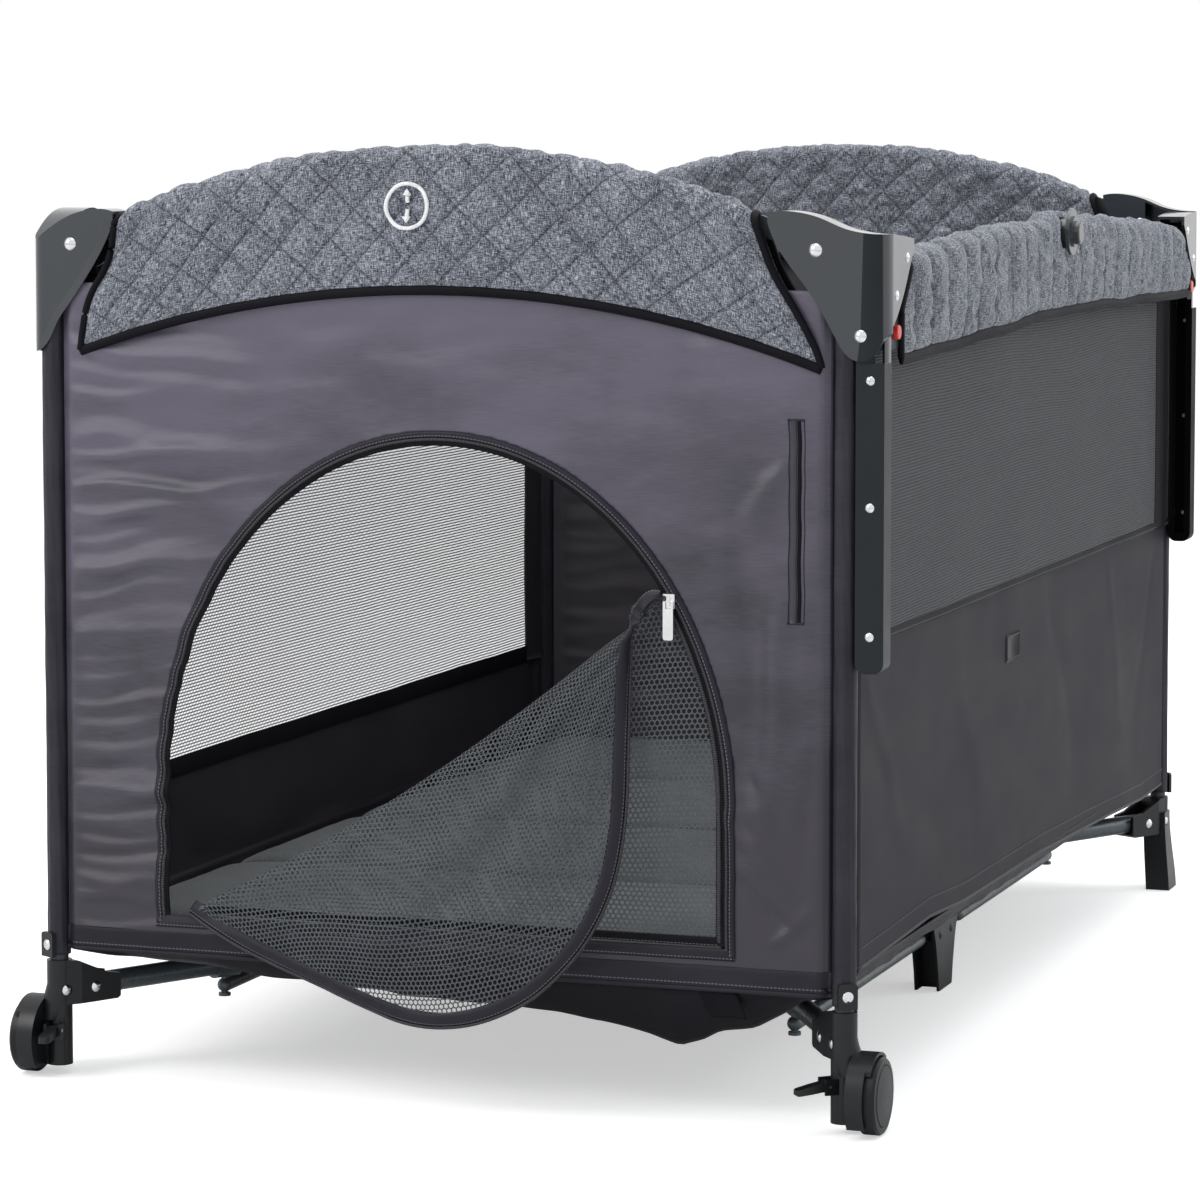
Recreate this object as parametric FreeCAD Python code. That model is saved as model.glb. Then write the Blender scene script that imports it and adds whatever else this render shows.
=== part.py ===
import FreeCAD, Part
import math
import os

os.makedirs("parts", exist_ok=True)
V = FreeCAD.Vector

# ---- driving dimensions (mm) ----
XL = 355.0            # leg axis to centre plane, across the pen
YL = 625.0            # leg axis to centre plane, along the pen
ORIGIN_X = -7.75      # puts the middle of the whole object's box on the Z axis
ORIGIN_Y = 24.92
DIAG = math.hypot(XL, YL)
CA = XL / DIAG        # direction of the base tubes
SA = YL / DIAG
ALPHA = math.degrees(math.atan2(SA, CA))

LEG_R = 8.0
LEG_WALL = 1.2
LEG_Z0 = 46.0
LEG_Z1 = 718.0
SLEEVE_R0 = 8.3
SLEEVE_R1 = 9.7

PIVOT_Z = 74.0        # height of the base tube pivots
S_PIVOT = 29.0        # leg axis to base tube pivot
R_HUB = 56.0          # hub centre to base tube pivot
BASE_R = 9.5
ARM_HALF = 14.0
ARM_GAP = 10.3
PIN_R = 3.0
PIN_FIT = 0.05

S_BRACKET = 178.0     # leg axis to brace bracket, along the base tube
BRACE_Z = 54.5
BRACE_R = 6.5
MID_PIVOT = 20.0      # mid foot pivots, either side of the middle
FOOT_HALF = 12.2      # half width of a mid foot, over its walls
TONGUE = 36.0         # flat end of a front side brace
STUB = 50.0           # mid foot's blind pivot to the end of a back side brace

TOP_Z = 723.0         # short rail pivots
SIDE_Z = 712.0        # long rail pivots
C1 = 23.0             # leg axis to short rail pivot
R1 = (S_PIVOT + R_HUB) * CA - C1
C2 = 50.0             # leg axis to long rail pivot
R2 = (S_PIVOT + R_HUB) * SA - C2
ARCH_R = 856.0
ARCH_ZC = 790.0 - ARCH_R
BAR_HALF = 8.0
BAR_T = 6.0
RAIL_R = 8.0

TRACK_A0 = -34.5      # drop-side track, measured inward from the leg axis
TRACK_A1 = -10.5
TRACK_B = 11.0
TRACK_MID = -22.5
TRACK_Z0 = 380.0
TRACK_Z1 = 714.0

HEM_Z = 113.0         # lower edge of the end walls
SIDE_HEM = 127.0      # and of the side walls
PANEL_TOP = 690.0
SHEET = 1.5
WHEEL_R = 32.0

CORNERS = {"fl": (-1, -1), "fr": (1, -1), "bl": (-1, 1), "br": (1, 1)}


# ---- helpers ----
def box(x0, x1, y0, y1, z0, z1):
    return Part.makeBox(x1 - x0, y1 - y0, z1 - z0, V(x0, y0, z0))


def rod(r, p0, p1):
    a = V(*p0)
    d = V(*p1) - a
    return Part.makeCylinder(r, d.Length, a, d)


def pipe(r, wall, p0, p1):
    a = V(*p0)
    d = V(*p1) - a
    u = V(d)
    u.normalize()
    inner = Part.makeCylinder(r - wall, d.Length + 2, a - u, d)
    return Part.makeCylinder(r, d.Length, a, d).cut(inner)


def plate(points, axis, t0, t1):
    """Polygon given as (u, z), extruded along X or Y from t0 to t1."""
    if axis == "y":
        pts = [V(u, t0, z) for u, z in points]
        move = V(0, t1 - t0, 0)
    else:
        pts = [V(t0, u, z) for u, z in points]
        move = V(t1 - t0, 0, 0)
    wire = Part.makePolygon(pts + [pts[0]])
    return Part.Face(wire).extrude(move)


def slab(points, z0, z1):
    pts = [V(x, y, z0) for x, y in points]
    return Part.Face(Part.makePolygon(pts + [pts[0]])).extrude(V(0, 0, z1 - z0))


def curve(points):
    c = Part.BSplineCurve()
    c.interpolate(points)
    return c.toShape()


def curved_plate(top, bottom, axis, t0, t1):
    """Plate between two smooth curves that run the same way."""
    def p(u, z):
        return V(u, t0, z) if axis == "y" else V(t0, u, z)
    tops = [p(u, z) for u, z in top]
    bots = [p(u, z) for u, z in bottom]
    ends = [Part.makeLine(tops[-1], bots[-1]), Part.makeLine(bots[0], tops[0])]
    edges = [curve(tops), ends[0], curve(bots[::-1]), ends[1]]
    face = Part.Face(Part.Wire(Part.__sortEdges__(edges)))
    move = V(0, t1 - t0, 0) if axis == "y" else V(t1 - t0, 0, 0)
    return face.extrude(move)


def fuse(*shapes):
    s = shapes[0]
    if len(shapes) > 1:
        s = s.multiFuse(list(shapes[1:]))
    return s.removeSplitter()


def turn(shape, angle, axis=(0, 0, 1), at=(0, 0, 0)):
    s = shape.copy()
    s.rotate(V(*at), V(*axis), angle)
    return s


def moved(shape, x, y, z):
    s = shape.copy()
    s.translate(V(x, y, z))
    return s


def at_corner(shape, corner):
    """Local axes: +X and +Y point from the leg axis into the pen."""
    sx, sy = CORNERS[corner]
    s = shape.copy()
    if sx > 0:
        s = s.mirror(V(0, 0, 0), V(1, 0, 0))
    if sy > 0:
        s = s.mirror(V(0, 0, 0), V(0, 1, 0))
    s.translate(V(sx * XL, sy * YL, 0))
    return s


def dome(r, h, at, d):
    """Rivet head: a low spherical cap with its flat side at a point."""
    rs = (r * r + h * h) / (2 * h)
    a = V(*at)
    n = V(*d)
    n.normalize()
    ball = Part.makeSphere(rs, a + n * (h - rs))
    keep = Part.makeCylinder(r + 1, h + 1, a, n)
    return ball.common(keep)


def rivet(r, head_r, head_h, p0, p1):
    a, b = V(*p0), V(*p1)
    d = b - a
    return fuse(rod(r, p0, p1), dome(head_r, head_h, p0, tuple(d * -1)), dome(head_r, head_h, p1, tuple(d)))


def screw(r, head_r, head_h, p0, p1):
    """Shank from p0 to p1 with a domed cross-slot head at p1."""
    d = V(*p1) - V(*p0)
    head = dome(head_r, head_h, p1, tuple(d))
    n = V(d)
    n.normalize()
    top = V(*p1) + n * head_h
    side = n.cross(V(0, 0, 1))
    if side.Length < 0.1:
        side = V(1, 0, 0)
    side.normalize()
    up = n.cross(side)
    for u in (side, up):
        w = n.cross(u)
        c = top - n * 0.9 - u * (head_r * 0.55) - w * 0.4
        bar = Part.makeBox(head_r * 1.1, 0.8, 2.0)
        m = FreeCAD.Matrix(u.x, w.x, n.x, c.x, u.y, w.y, n.y, c.y, u.z, w.z, n.z, c.z, 0, 0, 0, 1)
        bar.transformShape(m)
        head = head.cut(bar)
    return fuse(rod(r, p0, p1), head)


def out(name, *solids):
    whole = []
    for s in solids:
        whole += s.Solids
    shape = whole[0] if len(whole) == 1 else Part.makeCompound(whole)
    shape = moved(shape, ORIGIN_X, ORIGIN_Y, 0)
    shape.exportStep("parts/" + name + ".step")


# ---- legs and corner housings ----
def leg_tube():
    tube = pipe(LEG_R, LEG_WALL, (0, 0, LEG_Z0), (0, 0, LEG_Z1))
    cross = turn(rod(2.6, (0, -20, PIVOT_Z), (0, 20, PIVOT_Z)), ALPHA)
    return tube.cut(cross)


def arm():
    """Fork arm that carries the base tube, along +X from the collar."""
    side = [(0, 60.8), (52, 60.8), (55, 63), (55, 83), (40, 86), (22, 94), (11, 99), (0, 100)]
    body = plate(side, "y", -ARM_HALF, ARM_HALF)
    plan = [(0, -11), (14, -ARM_HALF), (55, -ARM_HALF), (55, ARM_HALF), (14, ARM_HALF), (0, 11)]
    body = body.common(slab(plan, 40, 120))
    body = fuse(body, rod(11, (0, 0, 60.8), (0, 0, 100)))
    body = body.cut(box(18, 70, -ARM_GAP, ARM_GAP, 64.2, 120))
    return turn(body, ALPHA)


def arm_bores(body):
    body = body.cut(rod(LEG_R + 0.05, (0, 0, LEG_Z0), (0, 0, 130)))
    cuts = rod(2.6, (0, -30, PIVOT_Z), (0, 30, PIVOT_Z))
    cuts = cuts.fuse(rod(PIN_R + PIN_FIT, (S_PIVOT, -30, PIVOT_Z), (S_PIVOT, 30, PIVOT_Z)))
    for s in (1, -1):
        cuts = cuts.fuse(rod(4.9, (0, s * 11, PIVOT_Z), (0, s * 30, PIVOT_Z)))
    return body.cut(turn(cuts, ALPHA))


def clamp_tab():
    """Screwed tab that pins the fabric sleeve to the leg, on the outer diagonal."""
    tab = box(-13.2, -9.8, -8.2, 8.2, 103.5, 125)
    high = [e for e in tab.Edges if e.CenterOfMass.z > 110]
    tab = tab.makeFillet(3.0, [e for e in high if abs(e.tangentAt(e.FirstParameter).x) > 0.9])
    tab = tab.cut(rod(SLEEVE_R1 + 0.3, (0, 0, 90), (0, 0, 140)))
    tab = tab.cut(rod(2.1, (-20, 0, 114), (0, 0, 114)))
    return turn(tab, ALPHA)


def caster_housing():
    """Front corner: collar, fork arm, column and the moulded wheel cover on the outer side."""
    column = rod(11, (0, 0, 8), (0, 0, 62))
    column = fuse(column, box(-10, 8, -8.5, 8.5, 8, 50))
    neck = Part.makeLoft([
        Part.Wire(Part.makeCircle(10.4, V(0, 0, 81), V(0, 0, 1))),
        Part.Wire(Part.makeCircle(13, V(-3, 0, 60), V(0, 0, 1))),
        Part.Wire(Part.makeCircle(13, V(-6, 0, 48), V(0, 0, 1)))], True)
    well = rod(33.4, (-13, 0, WHEEL_R), (-31, 0, WHEEL_R))
    cover = rod(36, (-10, 0, WHEEL_R), (-25, 0, WHEEL_R)).cut(well)
    lip = rod(36, (-25, 0, WHEEL_R), (-30, 0, WHEEL_R)).cut(well)
    lip = lip.common(plate([(-26, 52), (20, 52), (26, 90), (-26, 90)], "x", -31, -24))
    body = fuse(column, neck, cover, lip, arm())
    body = body.cut(rod(33.4, (-13, 0, WHEEL_R), (-40, 0, WHEEL_R)))
    body = body.cut(box(-60, 40, -60, 60, -20, 8))
    body = arm_bores(body)
    body = body.cut(rod(4.05, (10, 0, WHEEL_R), (-20, 0, WHEEL_R)))
    return body


def brake_seat(dx, dy):
    """Two ears that hold the brake lever pin; the lever points along (dx, dy)."""
    ang = math.degrees(math.atan2(dy, dx))
    ears = [box(8, 20, s * 5.3 if s > 0 else -7.8, 7.8 if s > 0 else -5.3, 33, 46) for s in (1, -1)]
    ears = [e.cut(rod(1.6, (16, -10, 40), (16, 10, 40))) for e in ears]
    return [turn(e, ang) for e in ears]


def brake_lever(dx, dy):
    ang = math.degrees(math.atan2(dy, dx))
    boss = rod(4.2, (16, -5, 40), (16, 5, 40))
    side = [(14, 36.4), (30, 34.5), (43, 33.5), (45, 35), (44, 38.5), (30, 41.5), (16, 44)]
    paddle = plate(side, "y", -5, 5)
    tip = rod(5.0, (40, 0, 30), (40, 0, 50))
    paddle = paddle.common(fuse(box(0, 40, -5, 5, 20, 60), tip))
    body = fuse(boss, paddle)
    for k in range(3):
        body = body.cut(box(30 + 4 * k, 31.2 + 4 * k, -3.6, 3.6, 37.2 - 0.4 * k, 45))
    body = body.cut(rod(1.5 + 0.05, (16, -10, 40), (16, 10, 40)))
    return turn(body, ang)


def brake_pin(dx, dy):
    return turn(rod(1.5, (16, -7.8, 40), (16, 7.8, 40)), math.degrees(math.atan2(dy, dx)))


def wheel():
    """Caster wheel on the outer side: tyre, raised face disc and blind hub bore."""
    prof = [(0, -17.2), (12, -17.2), (12, -19.5), (26, -19.5), (26, -17.6), (30, -17.6), (32, -19.6)]
    prof += [(32, -32), (30.5, -34), (26.2, -34.6), (25.4, -33.8), (24.6, -35.0), (12, -35.8), (0, -36)]
    pts = [V(x, 0, r) for r, x in prof]
    face = Part.Face(Part.makePolygon(pts + [pts[0]]))
    body = face.revolve(V(0, 0, 0), V(1, 0, 0), 360)
    body = moved(body, 0, 0, WHEEL_R)
    return body.cut(rod(4.05, (-10, 0, WHEEL_R), (-32.5, 0, WHEEL_R)))


def back_foot():
    """Back corner: collar and fork arm on a hollow ribbed foot that leans outward."""
    def rect(a0, a1, b0, b1, z):
        ring = [V(a0, b0, z), V(a1, b0, z), V(a1, b1, z), V(a0, b1, z)]
        return Part.makePolygon(ring + ring[:1])
    shape = [(-11, 12, -12, 14, 84), (-12, 12, -13, 15, 58), (-15, 10, -17, 18, 28), (-17.5, 8, -18, 20, 0)]
    inside = [(-8, 20, -9, 11, 57), (-12, 20, -14, 15, 28), (-14.5, 20, -15, 17, 4)]
    leg = Part.makeLoft([rect(*r) for r in shape], True)
    hollow = Part.makeLoft([rect(*r) for r in inside], True)
    foot = leg.cut(hollow)
    ribs = [box(-13, 7, b - 1.2, b + 1.2, 2, 60) for b in (-6.5, 1, 8.5)]
    foot = fuse(foot, *[r.common(leg) for r in ribs])
    foot = foot.cut(turn(box(18, 80, -ARM_GAP, ARM_GAP, 64.2, 120), ALPHA))
    body = fuse(foot, arm())
    return arm_bores(body)


# ---- caps ----
WING_TOP = [(63.5, 751), (55, 753), (41.7, 752.5), (30, 750), (17.6, 745), (5, 737.5)]
WING_TOP += [(-4, 731), (-10, 727), (-16, 725)]
WING_BOT = [(63.5, 743), (58, 730), (49.6, 714), (36, 693), (20, 671), (10, 657), (3, 643), (-4, 634)]
WING_BOT += [(-16, 630)]
DROP_TOP = [(63.5, 753), (52, 754.5), (41.7, 754), (17.6, 748.4), (0, 741), (-18, 737), (-40, 736)]
DROP_BOT = [(63.5, 745), (49.6, 717), (29.6, 691), (13.6, 666), (3.6, 648), (-5, 637), (-16, 633.5)]
DROP_BOT += [(-25, 637), (-32, 650), (-40, 657)]
DROP_SIDE_TOP = [(70, 731), (50, 733), (20, 735), (-16, 736)]
DROP_SIDE_BOT = [(70, 722), (60, 712), (45, 694), (30, 679), (12, 665), (-16, 655)]


def lowered(points, d):
    return [(u, z - d) for u, z in points]


def cap_plan(a_out, r, inset, reach):
    b = box(-a_out + inset, reach, -14 + inset, reach, 600, 800)
    side = [e for e in b.Edges if abs(e.CenterOfMass.x + a_out - inset) < 0.01]
    corner = [e for e in side if abs(e.CenterOfMass.y + 14 - inset) < 0.01]
    return b.makeFillet(r - inset, corner)


def bevel(points, face, depth, width, side, axis):
    """Wedge that takes the corner off a plate's outer face along one smooth edge."""
    k = width / depth
    rings = []
    for i, (u, z) in enumerate(points):
        a = points[max(i - 1, 0)]
        b = points[min(i + 1, len(points) - 1)]
        n = math.hypot(b[0] - a[0], b[1] - a[1])
        nu = -side * (b[1] - a[1]) / n
        nz = side * (b[0] - a[0]) / n
        ring = [(-1, face + depth + 1 / k), (-1, face - 1), (width + k, face - 1)]
        if axis == "y":
            pts = [V(u + nu * m, t, z + nz * m) for m, t in ring]
        else:
            pts = [V(t, u + nu * m, z + nz * m) for m, t in ring]
        rings.append(Part.makePolygon(pts + pts[:1]))
    return Part.makeLoft(rings, True, False)


def cap(drop):
    """Moulded corner cap: two wings round a curved corner, a top web, inner cheeks and a leg socket."""
    a_out = 37.0 if drop else 14.0
    r = 20.0 if drop else 12.0
    side_in0, side_in1 = (-10.4, -8.2) if drop else (11.0, 13.5)
    reach = 71
    outer = cap_plan(a_out, r, 0, reach)
    wall = outer.cut(cap_plan(a_out, r, 3, reach + 1))
    top1, bot1 = (DROP_TOP, DROP_BOT) if drop else (WING_TOP, WING_BOT)
    top2, bot2 = (DROP_SIDE_TOP, DROP_SIDE_BOT) if drop else (WING_TOP, WING_BOT)
    front_zone = curved_plate(top1, bot1, "y", -20, 5)
    side_zone = curved_plate(top2, bot2, "x", -a_out - 4, -a_out + 10 if drop else 5)
    shell = wall.common(front_zone.fuse(side_zone))
    if not drop:
        shell = shell.cut(bevel(bot1, -14, 2.2, 6.0, -1, "y"))
    web1 = curved_plate(top1, lowered(top1, 3), "y", -20, 13.5)
    web2 = curved_plate(top2, lowered(top2, 3), "x", -a_out - 4, side_in1)
    web = outer.common(web1.fuse(web2))
    low = [(63.5, 743), (58, 730), (49.6, 714), (36, 703), (17.6, 703)]
    if drop:
        low = [(63.5, 745), (49.6, 722), (30, 706), (17.6, 703)]
    under_top = curved_plate(top1, lowered(top1, 60), "y", -20, 20)
    cheek1 = curved_plate([(63.5, 800), (17.6, 800)], low, "y", 11, 13.5).common(under_top)
    cheek2 = box(side_in0, side_in1, 14, 63 if not drop else 69, 703, 731 if drop else 743)
    cheek2 = cheek2.common(curved_plate(top2, lowered(top2, 60), "x", side_in0 - 1, side_in1 + 1))
    if not drop:
        cheek2 = cheek2.common(side_zone_wide(top2, bot2, side_in0, side_in1))
    boss = rod(11, (0, 0, 701), (0, 0, 730)).common(under_top)
    body = fuse(shell, web, cheek1, cheek2, boss)
    body = body.cut(rod(LEG_R + 0.05, (0, 0, 690), (0, 0, LEG_Z1 + 0.2)))
    body = body.cut(rod(PIN_R + PIN_FIT, (C1, -20, TOP_Z), (C1, 20, TOP_Z)))
    if drop:
        body = body.cut(rod(2.6, (-15, -20, 654), (-15, 0, 654)))
        body = body.cut(rod(2.6, (-40, 50, 716), (-30, 50, 716)))
        body = body.cut(rod(2.6, (-40, 18, 686), (-30, 18, 686)))
    else:
        body = body.cut(rod(PIN_R + PIN_FIT, (-20, C2, SIDE_Z), (20, C2, SIDE_Z)))
        body = body.cut(rod(2.1, (-20, 0, 652), (-5, 0, 652)))
    return max(body.Solids, key=lambda s: s.Volume)


def side_zone_wide(top, bot, x0, x1):
    return curved_plate(top, [(u, max(z, 640)) for u, z in bot], "x", x0 - 1, x1 + 1)


def track():
    """Drop-side channel, open toward the other leg, with a rounded lower end."""
    body = box(TRACK_A0, TRACK_A1, -TRACK_B, TRACK_B, TRACK_Z0, TRACK_Z1)
    low = [e for e in body.Edges if abs(e.CenterOfMass.z - TRACK_Z0) < 0.01]
    body = body.makeFillet(9.0, [e for e in low if abs(e.CenterOfMass.y) < 0.01])
    body = body.cut(box(TRACK_A0 + 2.5, TRACK_A1 - 2.5, -8.5, 8.5, TRACK_Z0 + 4, TRACK_Z1 + 1))
    body = body.cut(box(TRACK_MID - 5, TRACK_MID + 5, 8, 12, TRACK_Z0 + 9, TRACK_Z1 + 1))
    for z in (618, 515, 410):
        body = body.cut(rod(2.1, (TRACK_MID, -12, z), (TRACK_MID, -8, z)))
        body = fuse(body, box(TRACK_A1 - 1, -SLEEVE_R1 - 0.1, -3, 3, z - 4, z + 4))
    low = box(-50, 0, -20, 20, 300, 632)
    return body.common(fuse(low, cap_plan(37.0, 20.0, 3.1, 30)))


def carrier():
    """Slider in the track, a fork for the drop rail and the seat of the red release button."""
    shoe = box(-31.8, -13.2, -8.3, 8.3, 642, 712)
    corner = [e for e in shoe.Edges if e.CenterOfMass.x < -31.7 and e.CenterOfMass.y < -8.2]
    shoe = shoe.makeFillet(14, corner)
    neck = box(TRACK_MID - 4.8, TRACK_MID + 4.8, 8, 12, 642, 712)
    fork = box(-33.6, -11.4, 11.4, 61, 696, 724)
    tip = [e for e in fork.Edges if abs(e.CenterOfMass.y - 61) < 0.01]
    fork = fork.makeFillet(5, [e for e in tip if abs(e.CenterOfMass.x - TRACK_MID) < 0.1])
    side = [(11.4, 642), (32, 642), (38, 648), (38, 668), (46, 696.5), (11.4, 696.5)]
    low = plate(side, "x", -33.6, -11.4)
    body = fuse(shoe, neck, fork, low)
    body = body.cut(box(TRACK_MID - 8.3, TRACK_MID + 8.3, 41.4, 70, 640, 720.3))
    body = body.cut(rod(PIN_R + PIN_FIT, (-40, C2, SIDE_Z), (0, C2, SIDE_Z)))
    return body.cut(rod(6.1, (-40, 25, 656), (-26, 25, 656)))


def red_button():
    head = rod(6.0, (-29.4, 25, 656), (-37.4, 25, 656))
    return head.makeFillet(1.2, [e for e in head.Edges if e.CenterOfMass.x < -37.3])


def leg_fasteners(corner):
    """Rivets, screws, pins and axle of one corner, in corner axes."""
    drop = corner in ("fr", "br")
    parts = []
    a = turn(rivet(2.5, 4.6, 1.8, (0, -11, PIVOT_Z), (0, 11, PIVOT_Z)), ALPHA)
    b = turn(rivet(PIN_R, 4.8, 2.0, (S_PIVOT, -ARM_HALF, PIVOT_Z), (S_PIVOT, ARM_HALF, PIVOT_Z)), ALPHA)
    c = turn(screw(2.0, 4.6, 2.0, (-10.2, 0, 114), (-13.2, 0, 114)), ALPHA)
    d = rivet(PIN_R, 5.6, 3.2, (C1, 13.5, TOP_Z), (C1, -14, TOP_Z))
    parts += [a, b, c, d]
    if drop:
        parts.append(screw(2.5, 5.0, 2.4, (-15, -11.1, 654), (-15, -14, 654)))
        parts.append(screw(2.5, 4.4, 1.8, (-34.1, 50, 716), (-37, 50, 716)))
        parts.append(screw(2.5, 4.4, 1.8, (-34.1, 18, 686), (-37, 18, 686)))
        for z in (618, 515, 410):
            parts.append(screw(2.0, 3.8, 1.8, (TRACK_MID, -8.6, z), (TRACK_MID, -TRACK_B, z)))
    else:
        parts.append(rivet(PIN_R, 5.6, 3.2, (13.5, C2, SIDE_Z), (-14, C2, SIDE_Z)))
        parts.append(screw(2.0, 3.6, 1.6, (-11.1, 0, 652), (-14, 0, 652)))
    if corner in ("fl", "fr"):
        parts.append(rod(4.0, (8.5, 0, WHEEL_R), (-32, 0, WHEEL_R)))
    return parts


# ---- base ----
def diagonal_point(corner, s):
    sx, sy = CORNERS[corner]
    return (sx * (XL - s * CA), sy * (YL - s * SA))


def base_tube(corner):
    sx, sy = CORNERS[corner]
    x0, y0 = diagonal_point(corner, S_PIVOT)
    x1, y1 = sx * R_HUB * CA, sy * R_HUB * SA
    tube = fuse(rod(BASE_R, (x0, y0, PIVOT_Z), (x1, y1, PIVOT_Z)),
                Part.makeSphere(BASE_R, V(x0, y0, PIVOT_Z)), Part.makeSphere(BASE_R, V(x1, y1, PIVOT_Z)))
    xa, ya = diagonal_point(corner, S_PIVOT + 22)
    xb, yb = sx * (R_HUB + 22) * CA, sy * (R_HUB + 22) * SA
    tube = tube.cut(rod(BASE_R - 1.3, (xa, ya, PIVOT_Z), (xb, yb, PIVOT_Z)))
    nx, ny = -sy * SA, sx * CA
    for x, y in ((x0, y0), (x1, y1)):
        p = (x - 20 * nx, y - 20 * ny, PIVOT_Z)
        q = (x + 20 * nx, y + 20 * ny, PIVOT_Z)
        tube = tube.cut(rod(PIN_R + PIN_FIT, p, q))
    return tube


def brace_bracket(corner):
    """Moulded clip round the base tube with a hanging pin for the side brace."""
    sx, sy = CORNERS[corner]
    xc, yc = diagonal_point(corner, S_BRACKET)
    ux, uy = -sx * CA, -sy * SA
    p0 = (xc - 13 * ux, yc - 13 * uy, PIVOT_Z)
    p1 = (xc + 13 * ux, yc + 13 * uy, PIVOT_Z)
    clip = rod(12.2, p0, p1)
    pin = rod(PIN_R, (xc, yc, 50), (xc, yc, 64))
    low = rod(5.5, (xc, yc, 44.6), (xc, yc, 47.4))
    post = rod(PIN_R, (xc, yc, 46), (xc, yc, 66))
    body = fuse(clip, pin, post, low)
    bore = rod(BASE_R, (xc - 30 * ux, yc - 30 * uy, PIVOT_Z), (xc + 30 * ux, yc + 30 * uy, PIVOT_Z))
    return body.cut(bore)


def hub():
    """Centre hub with four forks open below, on its own foot."""
    core = rod(36, (0, 0, 60), (0, 0, 88))
    crown = Part.makeCone(36, 24, 9, V(0, 0, 88))
    forks = []
    cuts = []
    bores = []
    for sx, sy in CORNERS.values():
        ang = math.degrees(math.atan2(sy * SA, sx * CA))
        side = [(0, 60), (70, 60), (74, 64), (74, 82), (66, 90), (0, 90)]
        forks.append(turn(plate(side, "y", -ARM_HALF, ARM_HALF), ang))
        cuts.append(turn(box(44.5, 100, -ARM_GAP, ARM_GAP, 20, 83.8), ang))
        bores.append(turn(rod(PIN_R + PIN_FIT, (R_HUB, -30, PIVOT_Z), (R_HUB, 30, PIVOT_Z)), ang))
    column = rod(17, (0, 0, 10), (0, 0, 62))
    pad = Part.makeCone(26, 20, 12, V(0, 0, 0))
    body = fuse(core, crown, column, pad, *forks)
    for c in cuts + bores:
        body = body.cut(c)
    body = body.cut(box(-19, 19, -3, 3, 90, 99))
    return body


def hub_pins():
    pins = []
    for sx, sy in CORNERS.values():
        ang = math.degrees(math.atan2(sy * SA, sx * CA))
        pin = rivet(PIN_R, 4.8, 1.6, (R_HUB, -ARM_HALF, PIVOT_Z), (R_HUB, ARM_HALF, PIVOT_Z))
        pins.append(turn(pin, ang))
    return pins


def brace(corner):
    """Half of a side brace: a tube from the bracket pin, with a flat tongue at the mid foot."""
    sx, sy = CORNERS[corner]
    x, y = diagonal_point(corner, S_BRACKET)
    driven = sy < 0
    y1 = sy * (MID_PIVOT + (TONGUE if driven else 2 * TONGUE))
    y2 = sy * (MID_PIVOT if driven else MID_PIVOT + STUB)
    body = fuse(rod(BRACE_R, (x, y, BRACE_Z), (x, y1, BRACE_Z)),
                Part.makeSphere(BRACE_R, V(x, y, BRACE_Z)), Part.makeSphere(BRACE_R, V(x, y1, BRACE_Z)))
    body = body.cut(rod(BRACE_R - 1.1, (x, y - sy * 16, BRACE_Z), (x, y1 + sy * 16, BRACE_Z)))
    body = body.cut(rod(PIN_R + PIN_FIT, (x, y, 30), (x, y, 90)))
    tongue = box(x - 1.6, x + 1.6, min(y1, y2), max(y1, y2), BRACE_Z - 5.5, BRACE_Z + 5.5)
    if driven:
        tongue = fuse(tongue, rod(8, (x - 1.6, y2, BRACE_Z), (x + 1.6, y2, BRACE_Z)))
    body = fuse(body, tongue)
    if driven:
        body = body.cut(rod(4.4, (x - 20, y2, BRACE_Z), (x + 20, y2, BRACE_Z)))
    return body


def mid_foot(sx):
    """Tapered channel foot under the middle of a long side."""
    x = diagonal_point("fl" if sx < 0 else "fr", S_BRACKET)[0]
    half = [(24, 0), (28, 20), (36, 46), (44, 62), (44, 76), (38, 83)]
    side = half + [(-y, z) for y, z in half[::-1]]
    body = plate(side, "x", x - FOOT_HALF, x + FOOT_HALF)
    wide = FOOT_HALF - 2.6
    body = body.cut(box(x - wide, x + wide, -50, 50, -1, 78))
    body = fuse(body, box(x - wide - 1, x + wide + 1, -4.5, 4.5, 0, 79))
    return body.cut(rod(PIN_R + PIN_FIT, (x - 20, -MID_PIVOT, BRACE_Z), (x + 20, -MID_PIVOT, BRACE_Z)))


def mid_foot_rivets(sx):
    x = diagonal_point("fl" if sx < 0 else "fr", S_BRACKET)[0]
    ends = (x - FOOT_HALF, -MID_PIVOT, BRACE_Z), (x + FOOT_HALF, -MID_PIVOT, BRACE_Z)
    live = rivet(PIN_R, 4.8, 1.8, *ends)
    blind = [dome(4.8, 1.8, (x + s * FOOT_HALF, MID_PIVOT, BRACE_Z), (s, 0, 0)) for s in (-1, 1)]
    return [live] + blind


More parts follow.
